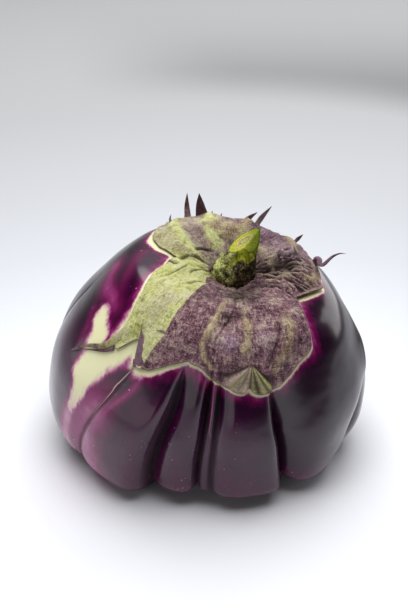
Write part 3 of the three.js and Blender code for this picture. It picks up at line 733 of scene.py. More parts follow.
# Patches of grey bloom, of lilac bloom with painted highlight, and of umber with painted shadow:
# azimuth, reach, half width and strength.
BLOOMS = [(-37, 37.5, 4, 0.5), (-39, 43, 3, 0.25), (109, 21, 5.5, 0.95)]
# The first two lilac patches, on the puffs of the front sepal, are a painted highlight; the others are
# lilac bloom.
LILAC_BLOOMS_AND_SHEEN = [
    (-1.7, 43, 2.9, 1), (12.6, 42, 3.6, 0.45), (84, 29, 4, 0.3), (130, 27, 6, 0.2),
    (110, 31, 7, 0.85), (145, 29, 6, 0.6)]
# The umber patch at azimuth 7, reach 25 is painted shadow of the stalk; the others are brown.
UMBER_AND_SHADE_PATCHES = [
    (72, 22, 8, 0.95), (7, 25, 6.5, 1.3), (-20, 29, 5, 0.45), (-3.5, 36, 2.5, 0.9),
    (56, 30, 4, 0.6), (2, 49.5, 3, 0.4), (8, 17, 6, 0.5), (109, 21, 5, -0.6)]
SPOTS = [  # azimuth, reach and radius of a brown spot
    (20.6, 37.6, 0.6), (26.5, 35.5, 0.4), (22.8, 44.3, 0.5), (6.2, 44.6, 0.55), (24.6, 42.6, 0.35),
    (-46.8, 40.3, 0.65), (-45, 44.5, 0.4), (-40, 17, 0.5), (-43, 49, 0.4), (7.1, 49.3, 0.5)]

green = np.interp(grid_azimuth, TINTS[:, 0], TINTS[:, 1], period=360)
bloom = np.interp(grid_azimuth, TINTS[:, 0], TINTS[:, 2], period=360)
border = np.interp(grid_reach, *GREEN_BORDER.T)
on_front = (grid_azimuth > -60) & (grid_azimuth < 36)
border_share = smooth((border - grid_azimuth) / 1.5 + 0.4 * wander)
green = np.where(on_front, border_share, green)
bloom = np.where(on_front, 0.15 * border_share, bloom)
left_core = (grid_azimuth < -60) & (grid_reach < 22)
green = np.where(left_core, green * smooth((grid_reach - 7) / 8), green)
bloom += humps_at(BLOOMS)
lilac_bloom_and_sheen = np.clip(humps_at(LILAC_BLOOMS_AND_SHEEN), 0, 1)
# The back right is darkened with umber as painted shade.
on_right = smooth((grid_azimuth - 70) / 15) * smooth((168 - grid_azimuth) / 15)
umber_and_shade = np.clip(humps_at(UMBER_AND_SHADE_PATCHES) + 0.3 * on_right, 0, 1)
print("green points of the calyx:", int((green > 0.5).sum()))

# %% Spots, and painted shade in creases, hollows and round the stalk
# Painted shade: the stalk's shadow on the cap just in front of it, and shade in the deepest fold there.
IN_FRONT_OF_STALK = [(4, 20, 4, 0.95), (30, 17, 3.5, 0.75)]  # azimuth, reach, half width, strength
DEEPEST_FOLD = [(5, 21.5, 5, 0.95)]

spot = np.max([hump(away_from(azimuth, reach), radius) for azimuth, reach, radius in SPOTS], axis=0)
crease_dark *= 0.95 + 0.5 * unevenness(on_skin, 1.6, seed=18)
# Painted shade also rings the foot of the stalk. The dark measure gathers all of this painted shade.
round_stalk = 0.75 * hump(grid_reach - 7.5, 2.2)
beside_knob = 0.85 * hump(from_knob - 2.7, 0.6)
dark = np.clip(np.maximum.reduce([
    crease_dark, 0.9 * fan_shadow, knob_hollow, beside_knob, round_stalk,
    humps_at(IN_FRONT_OF_STALK), humps_at(DEEPEST_FOLD)]), 0, 1)
print("dark points of the calyx:", int((dark > 0.5).sum()))

# %% Build the calyx
RIM_OUT, RIM_DOWN, LIP_THICKNESS = 0.2, 0.25, 0.6  # mm; the rim is rounded between top and underside

edge_lift = top_lift[-CALYX_COLUMNS:]
rim = skin_point(cap_lobe, cap_share, cap_edge + RIM_OUT, edge_lift - RIM_DOWN, CALYX_DRAPE)
under_shares = np.arange(UNDER_RINGS, 0, -1) / UNDER_RINGS
under_reach = np.outer(under_shares, cap_edge)
cap_under = skin_point(cap_lobe, cap_share, under_reach, CALYX_GAP)
lip_under = np.maximum(edge_lift - LIP_THICKNESS, CALYX_GAP)
cap_under[0] = skin_point(cap_lobe, cap_share, cap_edge, lip_under, CALYX_DRAPE)
peak = skin_point(0, 0.0, 0.0, CALYX_GAP + cap_thickness(0, 40))[None]
cap_rings = [peak, *np.split(cap_top, CALYX_RINGS), rim, *cap_under,
             skin_point(0, 0.0, 0.0, CALYX_GAP)[None]]
hidden = len(cap_edge) * (UNDER_RINGS + 1)
calyx_values = {"green": (0.5, green, 0.3), "dark": (0, dark, 0.3), "to_edge": (40, from_edge_mm, 0)}
calyx_values.update({name: (0, numbers, 0) for name, numbers in (
    ("bloom", bloom), ("lilac_bloom_and_sheen", lilac_bloom_and_sheen), ("umber_and_shade", umber_and_shade), ("rib", rib_pale),
    ("cavity", cavity), ("spot", spot), ("knob", knob_tint), ("fan_angle", fan_angle),
    ("fan", fan * smooth(fan_reach / 1.5)), ("leaf_x", leaf_x), ("leaf_y", leaf_y),
    ("leaf_z", grid_reach))})
calyx = mesh_over_rings("calyx_cap", cap_rings, {
    name: with_ends(*numbers, hidden) for name, numbers in calyx_values.items()})

# %% [markdown]
# ## Dried tips and prickles
#
# Where a sepal ends it dries into a thin curled tail, and its ribs carry a few hard prickles. Each
# one is a flattened horn: a cross-section that shrinks and turns along a path. Its root sits inside
# the cap, so that it seems to grow out of it.

# %% Build the horns
HORN_SIDES, HORN_RINGS = 14, 36
HORN_TAPER = 0.85  # 1 is a straight cone, less keeps the horn thick for longer
HORNS = {  # half width, half thickness, fold, green, lilac, and path as azimuth, reach and lift
    "prickle_back_left": (1.7, 0.9, 0.5, 0, 0.2, [(-148, 37, 0.5), (-148, 36, 6.3), (-146, 34, 11.6)]),
    "prickle_back": (3.0, 0.9, 0.9, 0, 0.35, [(-160, 37, 0.3), (-156, 34.5, 6.3), (-153, 33, 11.6)]),
    "prickle_small_left": (0.7, 0.6, 0, 0, 0, [(-133, 35, 0.8), (-134.5, 36, 2.4), (-137, 36.5, 3.8)]),
    "tip_back_right": (3.6, 1.0, 0.8, 0, 0.1, [(160, 36, 0.3), (157, 36, 5), (150.5, 35.5, 10.6)]),
    "fold_back_right": (3.4, 1.3, 0.2, 0, 0.1, [(170, 36.5, 0.3), (166, 36, 3.6), (160, 35.5, 6.6)]),
    "prickle_right": (1.4, 0.8, 0, 0, 0.3, [(125, 37.5, 0.8), (123.5, 37.5, 3.4), (119.5, 36.3, 6)]),
    "curled_tail_right": (1.5, 0.9, 0.4, 0, 0.8, [
        (91, 34.6, 0.8), (92.3, 34.4, 3.3), (88.7, 34.4, 4.4), (81.5, 33.6, 4.4), (81, 34.4, 5.4),
        (87.2, 36.4, 8), (90.2, 38, 10), (94.7, 40.8, 11)]),
    "tail_left": (2.0, 0.7, 0.6, 0.8, 0, [(-45.5, 51, 1.0), (-47.2, 56.8, 1.6), (-49.5, 60.8, 1.8),
                                          (-55.9, 65.2, 1.6), (-62.8, 73.6, 1.2)]),
    "tail_left_strand": (0.8, 0.5, 0.2, 0, 0.3, [(-45.2, 58.8, 0.8), (-48.1, 61.8, 1.1),
                                                 (-54, 65.4, 1.0), (-58.8, 69.4, 1.0)]),
    "flap_front": (3.4, 0.6, 0.9, 0, 1.0, [(-30.9, 58.8, 0.8), (-33.5, 54.4, 2.2), (-38.4, 47.2, 3.6)]),
    "flap_hem": (0.9, 0.6, 0, 0, 0.2, [(-34.5, 57.5, 0.6), (-32.9, 59, 0.8), (-28.7, 58.3, 0.9),
                                       (-24.2, 54.8, 0.8)]),
    "thorn_beside_stalk": (0.7, 0.5, 0, 0, 0, [(-100, 8.8, 2.6), (-80, 10.4, 4), (-60, 12.6, 5)]),
    "thorn_front": (0.7, 0.5, 0, 0.2, 0, [(-28, 45.2, 2.3), (-30.1, 45.2, 3.2), (-32.3, 46, 3.5)]),
    "thorn_side": (0.5, 0.4, 0, 0.2, 0, [(-47.2, 41.2, 1.8), (-48, 40.6, 2.6), (-49.1, 40.2, 3.4)]),
    "thorn_back_1": (0.5, 0.4, 0, 0.4, 0, [(-165, 37.5, 1), (-166, 37, 2.6), (-166, 36.5, 4)]),
    "thorn_back_2": (0.5, 0.4, 0, 0.2, 0, [(-172, 37.5, 1), (-172.5, 37, 2.2), (-173, 36.5, 3.4)]),
    "rolled_tip": (0.85, 0.75, 0, 0, 0.9, [
        (92, 22.8, 2.6), (97.1, 24, 3.1), (100, 25.6, 3.3), (95, 26.6, 3.4), (87.5, 25.4, 3.6),
        (89, 23.8, 4.2), (93.5, 24.6, 4.6)])}


def horn(name, half_width, half_thickness, fold, green_share, lilac_share, path):
    """A flattened, slightly folded horn along a path of azimuth, reach and lift."""
    given = np.array(path, float)
    stations = place(given[:, 0], given[:, 1], given[:, 2])
    line = curve_through(stations, HORN_RINGS)
    line = line[np.linspace(0, len(line) - 1, HORN_RINGS).astype(int)]
    forward = np.gradient(line, axis=0)
    forward /= np.linalg.norm(forward, axis=1)[:, None]
    outward = place(given[0, 0], given[0, 1], 1.0) - place(given[0, 0], given[0, 1])
    flat_side = np.cross(outward, forward)
    flat_side /= np.linalg.norm(flat_side, axis=1)[:, None]
    edge_side = np.cross(forward, flat_side)
    along = np.linspace(0, 1, HORN_RINGS)
    taper = (1 - along) ** HORN_TAPER
    turns = -2 * np.pi * np.arange(HORN_SIDES) / HORN_SIDES
    rings = [line[:1]]
    for k in range(HORN_RINGS - 1):
        across = half_width * taper[k] * np.cos(turns)[:, None]
        through = half_thickness * taper[k] * np.sin(turns) - fold * taper[k] * np.cos(turns) ** 2
        rings.append(line[k] + across * flat_side[k] + through[:, None] * edge_side[k])
    rings.append(line[-1:])
    tipward = np.concatenate([[0], np.repeat(along[:-1], HORN_SIDES), [1]])
    return mesh_over_rings(name, rings, {
        "green": green_share * (1 - tipward ** 2), "lilac_bloom_and_sheen": lilac_share * (1 - 0.5 * tipward),
        "bloom": 0.5 * (1 - lilac_share) * (1 - 0.7 * tipward),
        "umber_and_shade": 0.08 - 0.08 * lilac_share + 0.3 * tipward ** 2, "to_edge": np.full(len(tipward), 40.0)})


horns = [horn(name, *shape) for name, shape in HORNS.items()]

# %% [markdown]
# ## The stalk
#
# The stub of the stalk is bent, lumpy and rough like bark, and the knife has left a slanting face
# that shows its inside. The bark is rings of points that climb until they meet the cut, so that the
# rim of the cut is sharp. The face is the same rings closing in to the middle.

# %% Shape of the stalk
STALK_AXIS = [(9.3, -6, 57), (9.0, -7.6, 63), (8.4, -7.8, 68), (8.6, -7.6, 72),
              (11.0, -7.8, 77), (12.3, -8, 82), (13.6, -8, 90)]
STALK_RADII = [6.8, 7.2, 7.6, 7.2, 5.3, 5.0, 4.9]
CUTS = [((12.4, -8, 82.2), (-0.66, -0.08, 1)), ((15.5, -9.5, 82), (0.55, -0.75, 0.45))]
PEEL_HEIGHT, PEEL_TURN = 4.3, math.radians(-58)  # the bark is torn this far down, front right
STALK_COLUMNS, BARK_RINGS, FACE_RINGS = 150, 150, 40
STALK_START = 0.12  # the bark begins this share of the way up, inside the calyx
LUMP_SIZE, FINE_LUMP_SIZE, KNOB_SIZE = 3.1, 1.4, 4.2  # mm
CALM_SHARE = 0.08  # of the bark, just below the cut, is smooth
SAW_MARKS = (0.07, 0.9)  # height and size in mm, on the cut

stalk_line = curve_through([(*p, r) for p, r in zip(STALK_AXIS, STALK_RADII)], steps=40)
stalk_share = np.linspace(0, 1, len(stalk_line))
stalk_turn = 2 * np.pi * np.arange(STALK_COLUMNS) / STALK_COLUMNS


def bark_point(share, turn):
    """A point on the plain bark, and the direction from the middle of the stalk out to it."""
    x, y, z, radius = (np.interp(share, stalk_share, stalk_line[:, i]) for i in range(4))
    side = np.stack([np.cos(turn), np.sin(turn), np.zeros_like(turn)], axis=-1)
    middle = np.stack([x, y, z], axis=-1)
    return middle + radius[..., None] * side, side


def cut_height(x, y):
    """How high the cut faces are above a place."""
    heights = []
    for point, faces in CUTS:
        along = (x - point[0]) * faces[0] + (y - point[1]) * faces[1]
        heights.append(point[2] - along / faces[2])
    return np.minimum(*heights)


low, high = np.full(STALK_COLUMNS, STALK_START), np.ones(STALK_COLUMNS)
for _ in range(30):
    middle_share = (low + high) / 2
    point, _ = bark_point(middle_share, stalk_turn)
    above = point[:, 2] > cut_height(point[:, 0], point[:, 1])
    high = np.where(above, middle_share, high)
    low = np.where(above, low, middle_share)
climb = np.linspace(0, 1, BARK_RINGS)
bark_share = mix(STALK_START, low[None], climb[:, None])
bark, bark_side = bark_point(bark_share, np.broadcast_to(stalk_turn, bark_share.shape))
flat_bark = bark.reshape(-1, 3)
lumps = unevenness(flat_bark * [1, 1, 0.8], LUMP_SIZE, seed=7)
lumps_fine = unevenness(flat_bark, FINE_LUMP_SIZE, seed=8)
knobs = np.abs(unevenness(flat_bark * [1, 1, 0.7], KNOB_SIZE, seed=9))
on_left = smooth((STALK_AXIS[3][0] + 1 - flat_bark[:, 0]) / 5)
bark_relief = mix(0.6, 1.2, on_left) * lumps + 0.4 * lumps_fine + mix(0.6, 1.3, on_left) * knobs
bark_relief = bark_relief.reshape(bark_share.shape)
below_cut = cut_height(bark[..., 0], bark[..., 1]) - bark[..., 2]
near_side = smooth((np.cos(stalk_turn - PEEL_TURN) - 0.25) / 0.45)
peeled = near_side * smooth((PEEL_HEIGHT + 0.8 * lumps.reshape(below_cut.shape) - below_cut) / 0.8)
calm_at_cut = smooth((1 - climb) / CALM_SHARE)[:, None] * mix(1, 0.3, peeled)
bark = bark + (bark_relief * mix(0.25, 1, calm_at_cut))[..., None] * bark_side
bark[-1, :, 2] = cut_height(bark[-1, :, 0], bark[-1, :, 1])

# %% Build the stalk
rim_ring = bark[-1]
face_middle = rim_ring.mean(axis=0)
inwards = np.linspace(0, 1, FACE_RINGS + 1)[1:-1]
face = mix(rim_ring[None], face_middle[None, None], inwards[:, None, None])
face[..., 2] = cut_height(face[..., 0], face[..., 1])
face_relief = unevenness(face.reshape(-1, 3), SAW_MARKS[1], seed=11).reshape(face.shape[:2])
face[..., 2] += SAW_MARKS[0] * face_relief
face_middle[2] = cut_height(face_middle[0], face_middle[1])
bottom = np.array([[*STALK_AXIS[0][:2], bark[0, :, 2].mean() - 0.5]])
stalk_rings = [face_middle[None], *face[::-1], *bark[::-1], bottom]
face_points, bark_points = face[..., 0].size, bark[..., 0].size
stalk_values = {
    "cut": with_ends(1, np.ones(face_points), 0, bark_points),
    "from_pith": with_ends(0, np.repeat(1 - inwards[::-1], STALK_COLUMNS), 1, bark_points)}
for name, numbers in (("peeled", peeled), ("on_left", on_left), ("relief", bark_relief)):
    downwards = numbers.reshape(bark_share.shape)[::-1].ravel()
    stalk_values[name] = with_ends(0, np.append(np.zeros(face_points), downwards), 0)
stalk = mesh_over_rings("stalk_stub", stalk_rings, stalk_values)

# %% [markdown]
# ## Tools for finishes
#
# A finish is a small tree of nodes that ends in one shader. Writing the trees by hand is long, so a
# few functions add a node, link it and give back its output. Every finish here is worked out in the
# object's own space or from the values stored on its points, so it stays on the surface from any
# side.

# %% Node helpers
class Finish:
    """A material and short ways to add nodes to it."""

    def __init__(self, name):
        self.material = bpy.data.materials.new(name)
        self.material.use_nodes = True
        self.tree = self.material.node_tree
        self.shader = self.tree.nodes["Principled BSDF"]

    def add(self, kind, inputs, output=0, **settings):
        """Adds a node; inputs are values or outputs of other nodes. Returns one output."""
        made = self.tree.nodes.new(kind)
        for name, value in settings.items():
            setattr(made, name, value)
        for key, value in inputs.items():
            if isinstance(value, bpy.types.NodeSocket):
                self.tree.links.new(value, made.inputs[key])
            else:
                made.inputs[key].default_value = value
        return made.outputs[output]

    def stored(self, name):
        return self.add("ShaderNodeAttribute", {}, "Fac", attribute_name=name)

    def space(self):
        return self.add("ShaderNodeTexCoord", {}, "Object")

    def stretched(self, scale):
        """The object's space, squeezed by a scale for each axis."""
        return self.add("ShaderNodeMapping", {"Vector": self.space(), "Scale": scale})

    def noise(self, size_mm, detail=3, roughness=0.5, distortion=0.0, where=None):
        """Unevenness of a size in mm, from 0 to 1."""
        return self.add("ShaderNodeTexNoise", {
            "Vector": where or self.space(), "Scale": 1 / (size_mm * MM), "Detail": detail,
            "Roughness": roughness, "Distortion": distortion})

    def math(self, operation, a, b=0.0, clamp=False):
        return self.add("ShaderNodeMath", {0: a, 1: b}, operation=operation, use_clamp=clamp)

    def plus(self, a, b):
        return self.math("ADD", a, b)

    def times(self, a, b):
        return self.math("MULTIPLY", a, b)

    def least(self, first, *others):
        for other in others:
            first = self.math("MINIMUM", first, other)
        return first

    def span(self, value, start, end, low=0.0, high=1.0):
        """Takes a value from one range to another, smoothly and without leaving it."""
        return self.add("ShaderNodeMapRange", {
            "Value": value, "From Min": start, "From Max": end, "To Min": low, "To Max": high},
            interpolation_type="SMOOTHSTEP")

    def colours(self, value, stops):
        """A colour for each value, through stops of (value, colour)."""
        ramp_output = self.add("ShaderNodeValToRGB", {"Fac": value})
        ramp = ramp_output.node.color_ramp
        while len(ramp.elements) < len(stops):
            ramp.elements.new(0.5)
        for element, (position, colour) in zip(ramp.elements, stops):
            element.position = position
            element.color = (*colour, 1)
        return ramp_output

    def blend(self, share, a, b, blend_type="MIX"):
        a, b = ((*c, 1) if isinstance(c, tuple) else c for c in (a, b))
        return self.add("ShaderNodeMix", {0: share, 6: a, 7: b}, 2,
                        data_type="RGBA", blend_type=blend_type)

    def layered(self, colour, layers):
        """A colour with others laid over it in turn, each by its share."""
        for share, over in layers:
            colour = self.blend(share, colour, over)
        return colour

    def bump(self, height, depth_mm):
        return self.add("ShaderNodeBump", {
            "Height": height, "Distance": depth_mm * MM, "Strength": 1.0})

    def to_shader(self, **inputs):
        for name, value in inputs.items():
            socket = self.shader.inputs[name.replace("_", " ")]
            if isinstance(value, bpy.types.NodeSocket):
                self.tree.links.new(value, socket)
            else:
                socket.default_value = value


# %% [markdown]
# ## The finish of the skin
#
# The skin is a thin clear wax over violet pigment. How much pigment there is decides the colour:
# none is cream, a little is pink, more is magenta, and full is nearly black. So the finish first
# works out one number, the pigment, and only then looks up a colour for it. The wax is the shader's
# own gloss.

# %% Skin
PIGMENT_COLOURS = [
    (0.0, (0.84, 0.82, 0.50)), (0.14, (0.72, 0.56, 0.43)), (0.26, (0.50, 0.20, 0.33)),
    (0.40, (0.26, 0.024, 0.140)), (0.55, (0.13, 0.003, 0.060)), (0.75, (0.060, 0.001, 0.032)),
    (0.88, (0.030, 0.001, 0.023)), (1.0, (0.007, 0.0004, 0.005))]

f = Finish("violet_skin")
streaks = f.noise(1.8, where=f.stretched((1, 1, 0.4)))
fine = f.noise(0.9)
clouds = f.noise(9, detail=4)
cream_share = f.plus(f.stored("cream"), f.span(fine, 0.3, 0.7, -0.12, 0.12))
fringe_share = f.plus(f.stored("fringe"), f.span(streaks, 0.3, 0.7, -0.15, 0.15))
from_edge = f.times(f.span(cream_share, 0.8, 2.0), f.span(fringe_share, -0.15, 1.3, 0.30, 1.0))
pale_mm = f.plus(f.stored("pale"), f.span(streaks, 0.25, 0.75, -0.6, 0.6))
from_patch = f.span(pale_mm, 2.0, -4.6)
low_patch = f.span(f.stored("reach"), 76, 96, 0.0, 0.26)  # lower down even the patch is pink
from_patch = f.math("MAXIMUM", from_patch, low_patch)
from_blush = f.plus(f.stored("blush"), f.span(clouds, 0.3, 0.7, -0.06, 0.06))
from_lines = [f.span(f.math("ABSOLUTE", f.stored(name)), 0.1, 0.65, pigment_left, 1.0)
              for name, pigment_left in (("line_left", 0.14), ("line_front", 0.40),
                                         ("line_front_2", 0.56))]
pigment = f.least(from_edge, from_patch, from_blush, *from_lines)
pigment = f.times(pigment, f.span(clouds, 0.3, 0.75, 1.0, 0.94))
pigment = f.times(pigment, f.span(f.stored("reach"), 84, 112, 1.0, 0.93))

# %% Pale specks on the skin
SPECK_SPACING, SPECK_PIGMENT = 2.0, 0.35  # mm, and the share of the pigment that is left in one
speck_cells = f.add("ShaderNodeTexVoronoi", {
    "Vector": f.space(), "Scale": 1 / (SPECK_SPACING * MM)}, "Distance")
speck_size = f.span(f.noise(7, detail=1), 0.40, 0.65, 0.0, 0.12)
speck = f.math("LESS_THAN", speck_cells, speck_size)
speck = f.times(speck, f.span(f.stored("blush"), 1.0, 0.85, 0.0, 1.0))
pigment = f.blend(speck, pigment, f.times(pigment, SPECK_PIGMENT))
skin_colour = f.colours(pigment, PIGMENT_COLOURS)
# Painted shade: the bottom of each groove is darkened nearly to black.
skin_colour = f.blend(f.times(f.stored("in_groove"), 0.7), skin_colour, (0.006, 0.001, 0.004))
f.to_shader(Base_Color=skin_colour, Roughness=f.span(f.stored("in_groove"), 0.0, 0.8, 0.2, 0.8),
            IOR=1.5, Coat_Weight=0.2, Coat_Roughness=0.1)
fruit.data.materials.append(f.material)

# %% [markdown]
# ## The finish of the calyx
#
# A sepal is dull and dry, with a dusting of fine hairs that scatters light. Its colour is a mottle
# of grey violet over tan, and where it grew in the shade it is yellow-green. Crests are painted
# paler and hollows darker, as painted light and shade, so the measure of how far each point stands
# out of its surroundings steers the tone as well.

# %% Tone of the calyx
f = Finish("dry_sepal")
mottle = f.noise(1.1, detail=4, roughness=0.7, distortion=0.6)
specks = f.noise(0.42, detail=2, roughness=0.6)
patches = f.noise(6, detail=4)
leaf = f.add("ShaderNodeCombineXYZ", {axis: f.stored("leaf_" + axis.lower()) for axis in "XYZ"})
fibres, wrinkles = (
    f.add("ShaderNodeTexNoise", {
        "Vector": f.add("ShaderNodeMapping", {"Vector": leaf, "Scale": scale}),
        "Scale": 1.0, "Detail": detail, "Roughness": 0.6, "Distortion": distortion})
    for scale, detail, distortion in (((2.2, 2.2, 0.5), 4, 1.2), ((0.5, 0.5, 1.9), 3, 1.5)))
# Painted light and shade: the cavity measure lifts the tone on crests and lowers it in hollows.
tone = f.times(f.stored("cavity"), f.span(f.stored("umber_and_shade"), 0.1, 0.9, 0.11, 0.36))
for grain_layer, weight in ((patches, 0.5), (mottle, 0.3), (specks, 0.55), (fibres, 0.9),
                            (wrinkles, 0.6)):
    tone = f.plus(tone, f.times(f.math("SUBTRACT", grain_layer, 0.5), weight))
tone = f.plus(tone, 0.48)

# %% Colours of the calyx
SEPAL_COLOURS = {  # stops of tone and colour, from hollows to crests
    "violet": [(0.24, (0.036, 0.013, 0.019)), (0.40, (0.140, 0.061, 0.083)),
               (0.55, (0.305, 0.165, 0.196)), (0.70, (0.52, 0.41, 0.31))],
    "yellow_green": [(0.14, (0.24, 0.22, 0.065)), (0.36, (0.54, 0.55, 0.17)),
                     (0.56, (0.72, 0.75, 0.32)), (0.80, (0.86, 0.87, 0.54))],
    "dusty": [(0.20, (0.21, 0.14, 0.13)), (0.42, (0.40, 0.31, 0.265)), (0.60, (0.56, 0.47, 0.38)),
              (0.78, (0.67, 0.60, 0.47))],
    "umber_and_shade": [(0.28, (0.006, 0.003, 0.002)), (0.44, (0.038, 0.019, 0.018)),
              (0.60, (0.085, 0.052, 0.046)), (0.78, (0.22, 0.16, 0.125))],
    "lavender": [(0.22, (0.115, 0.052, 0.090)), (0.48, (0.31, 0.185, 0.255)),
                 (0.72, (0.54, 0.40, 0.47))],
    "rib": [(0.24, (0.19, 0.12, 0.06)), (0.46, (0.40, 0.305, 0.165)), (0.70, (0.60, 0.50, 0.28))]}
DRY_EDGE = (0.36, 0.27, 0.19)

palette = {name: f.colours(tone, stops) for name, stops in SEPAL_COLOURS.items()}
drift = f.span(patches, 0.3, 0.7, -0.22, 0.22)
green_share = f.plus(f.stored("green"), drift)
bloom_share = f.math("ADD", f.stored("bloom"), f.times(drift, 0.8), clamp=True)
rib_share = f.plus(f.stored("rib"), f.times(drift, 0.6))
rib_tint = f.blend(f.span(green_share, 0.15, 0.5), palette["rib"], palette["yellow_green"])
sepal = f.blend(f.span(green_share, 0.2, 0.8), palette["violet"], palette["yellow_green"])
# The umber layer is brown, and painted shade near the stalk and on the back right.
sepal = f.layered(sepal, [
    (bloom_share, palette["dusty"]),
    (f.times(f.stored("lilac_bloom_and_sheen"), 0.85), palette["lavender"]),
    (f.span(rib_share, 0.1, 1.1, 0.0, 0.95), rib_tint),
    (f.times(f.stored("umber_and_shade"), 0.9), palette["umber_and_shade"]),
    (f.span(f.stored("to_edge"), 0.9, 0.1, 0.0, 0.35), DRY_EDGE)])

# %% The fan, the knob, creases and spots
# The dark stops stand for painted shade in the valleys between the pleats.
PLEAT_COLOURS = [  # from the left side of the fan to the right
    (0.0, (0.20, 0.13, 0.11)), (0.12, (0.40, 0.31, 0.27)), (0.22, (0.24, 0.19, 0.08)),
    (0.30, (0.45, 0.38, 0.28)), (0.45, (0.38, 0.29, 0.22)), (0.52, (0.05, 0.03, 0.03)),
    (0.60, (0.36, 0.33, 0.17)), (0.68, (0.10, 0.07, 0.04)), (0.76, (0.42, 0.40, 0.20)),
    (0.83, (0.09, 0.06, 0.04)), (0.90, (0.44, 0.44, 0.16)), (1.0, (0.16, 0.12, 0.06))]
# The second colour here is the near-black of painted shade, which the dark measure lays into creases,
# hollows and round the stalk.
SPOT_BROWN, PAINTED_SHADE, PIT_BROWN = (0.07, 0.018, 0.010), (0.028, 0.016, 0.012), (0.05, 0.026, 0.022)

fan_place = f.add("ShaderNodeMapRange", {
    "Value": f.stored("fan_angle"), "From Min": FAN_LEFT, "From Max": FAN_RIGHT})
fan_colour = f.colours(fan_place, PLEAT_COLOURS)
shaded_fan = f.blend(1.0, fan_colour, f.span(tone, 0.3, 0.62, 0.35, 1.5), "MULTIPLY")
sepal = f.layered(sepal, [
    (f.stored("fan"), f.blend(0.55, fan_colour, shaded_fan)),
    (f.stored("knob"), palette["lavender"]),
    (f.times(f.stored("spot"), 0.9), SPOT_BROWN),
    (f.times(f.stored("dark"), 0.95), PAINTED_SHADE),
    (f.span(specks, 0.30, 0.38, 0.5, 0.0), PIT_BROWN)])
height = f.times(mottle, 0.7)
for grain_layer, weight in ((specks, 0.35), (fibres, 0.6), (wrinkles, 0.35)):
    height = f.plus(height, f.times(grain_layer, weight))
f.to_shader(Base_Color=sepal, Roughness=0.7, Specular_IOR_Level=0.15, Sheen_Weight=0.05,
            Normal=f.bump(height, 0.8))
for made in (calyx, *horns):
    made.data.materials.append(f.material)

# %% [markdown]
# ## The finish of the stalk
#
# The bark is green at the left and darker brown at the right, partly as painted shade on the side
# away from the light. It is darker in its hollows and paler on its knobs, as painted shade and light.
# Where it has torn off below the cut, the yellow-green layer under it shows. The cut has rings, as
# any stem has: green pith in the middle, tan wood round it, then yellow-green flesh and a thin dark
# rim. A ramp of colours from the pith outwards gives them all, and the steeper cut at the right is
# painted darker as shade, and greener.

# %% Stalk
BARK_GREEN = [
    (0.1, (0.020, 0.015, 0.006)), (0.4, (0.13, 0.12, 0.035)), (0.7, (0.35, 0.37, 0.12)),
    (1.0, (0.56, 0.60, 0.22))]
BARK_BROWN = [
    (0.1, (0.006, 0.004, 0.002)), (0.4, (0.036, 0.022, 0.012)), (0.7, (0.12, 0.090, 0.040)),
    (1.0, (0.27, 0.25, 0.09))]
TORN_GREEN = [(0.30, (0.10, 0.14, 0.004)), (0.45, (0.30, 0.36, 0.012)), (0.60, (0.58, 0.58, 0.06))]
STEM_RINGS = [  # from the pith in the middle out to the rim
    (0.0, (0.40, 0.56, 0.20)), (0.20, (0.52, 0.60, 0.26)), (0.27, (0.20, 0.24, 0.05)),
    (0.33, (0.58, 0.38, 0.18)), (0.46, (0.76, 0.58, 0.34)), (0.54, (0.52, 0.53, 0.08)),
    (0.85, (0.56, 0.60, 0.06)), (0.93, (0.40, 0.43, 0.05)), (0.98, (0.03, 0.04, 0.01))]
# The face shade is painted shade: the steeper second cut at the right is darker, and greener.
FACE_SHADE = [(0.0, (1.0, 0.96, 0.9)), (0.45, (0.95, 0.93, 0.8)), (1.0, (0.38, 0.47, 0.2))]
FACE_LEFT, FACE_RIGHT = 7, 17  # mm; between them the face gets darker, as painted shade, and greener

f = Finish("cut_stalk")
bark_noise = f.noise(1.3, detail=5, roughness=0.65)
grit = f.noise(0.55, detail=3, roughness=0.7)
# The bark tone follows the relief, so hollows get painted shade and knobs painted light.
height = f.plus(f.stored("relief"), f.span(bark_noise, 0.2, 0.8, -0.6, 0.6))
height = f.plus(height, f.span(grit, 0.25, 0.75, -0.9, 0.9))
bark_tone = f.span(height, -0.8, 1.6)
# The brown at the right side is darker, partly as painted shade.
bark_colour = f.blend(f.stored("on_left"), f.colours(bark_tone, BARK_BROWN),
                      f.colours(bark_tone, BARK_GREEN))
torn = f.colours(f.noise(1.1, detail=4, where=f.stretched((1, 1, 0.5))), TORN_GREEN)
bark_colour = f.blend(f.stored("peeled"), bark_colour, torn)
ring_place = f.plus(f.stored("from_pith"), f.span(bark_noise, 0.3, 0.7, -0.04, 0.04))
face_side = f.math("DIVIDE", f.add("ShaderNodeSeparateXYZ", {0: f.space()}, "X"), MM)
face_colour = f.blend(1.0, f.colours(ring_place, STEM_RINGS),
                      f.colours(f.span(face_side, FACE_LEFT, FACE_RIGHT), FACE_SHADE), "MULTIPLY")
face_colour = f.blend(f.span(grit, 0.40, 0.56, 0.7, 0.0), face_colour, (0.13, 0.15, 0.012))
f.to_shader(Base_Color=f.blend(f.stored("cut"), bark_colour, face_colour), Roughness=0.6,
            Specular_IOR_Level=0.2, Normal=f.bump(bark_noise, 0.35))
stalk.data.materials.append(f.material)

# %% [markdown]
# ## Table and light
#
# The fruit stands on a white sweep under one big soft lamp, as in a light tent. A wide lamp gives
# the soft contact shadow, and the white table is what the glossy lobes mirror. The room around is
# left dim, and the sweep is painted darker away from the fruit and dark grey round it, as painted
# falloff of light, so that the mirrored table ends in a dark band, which is what makes the skin look
# wet.
# Two low white cards, one at the left and one behind at the right, give the skin a pale sheen along
# its sides. Most of the light still comes from above.

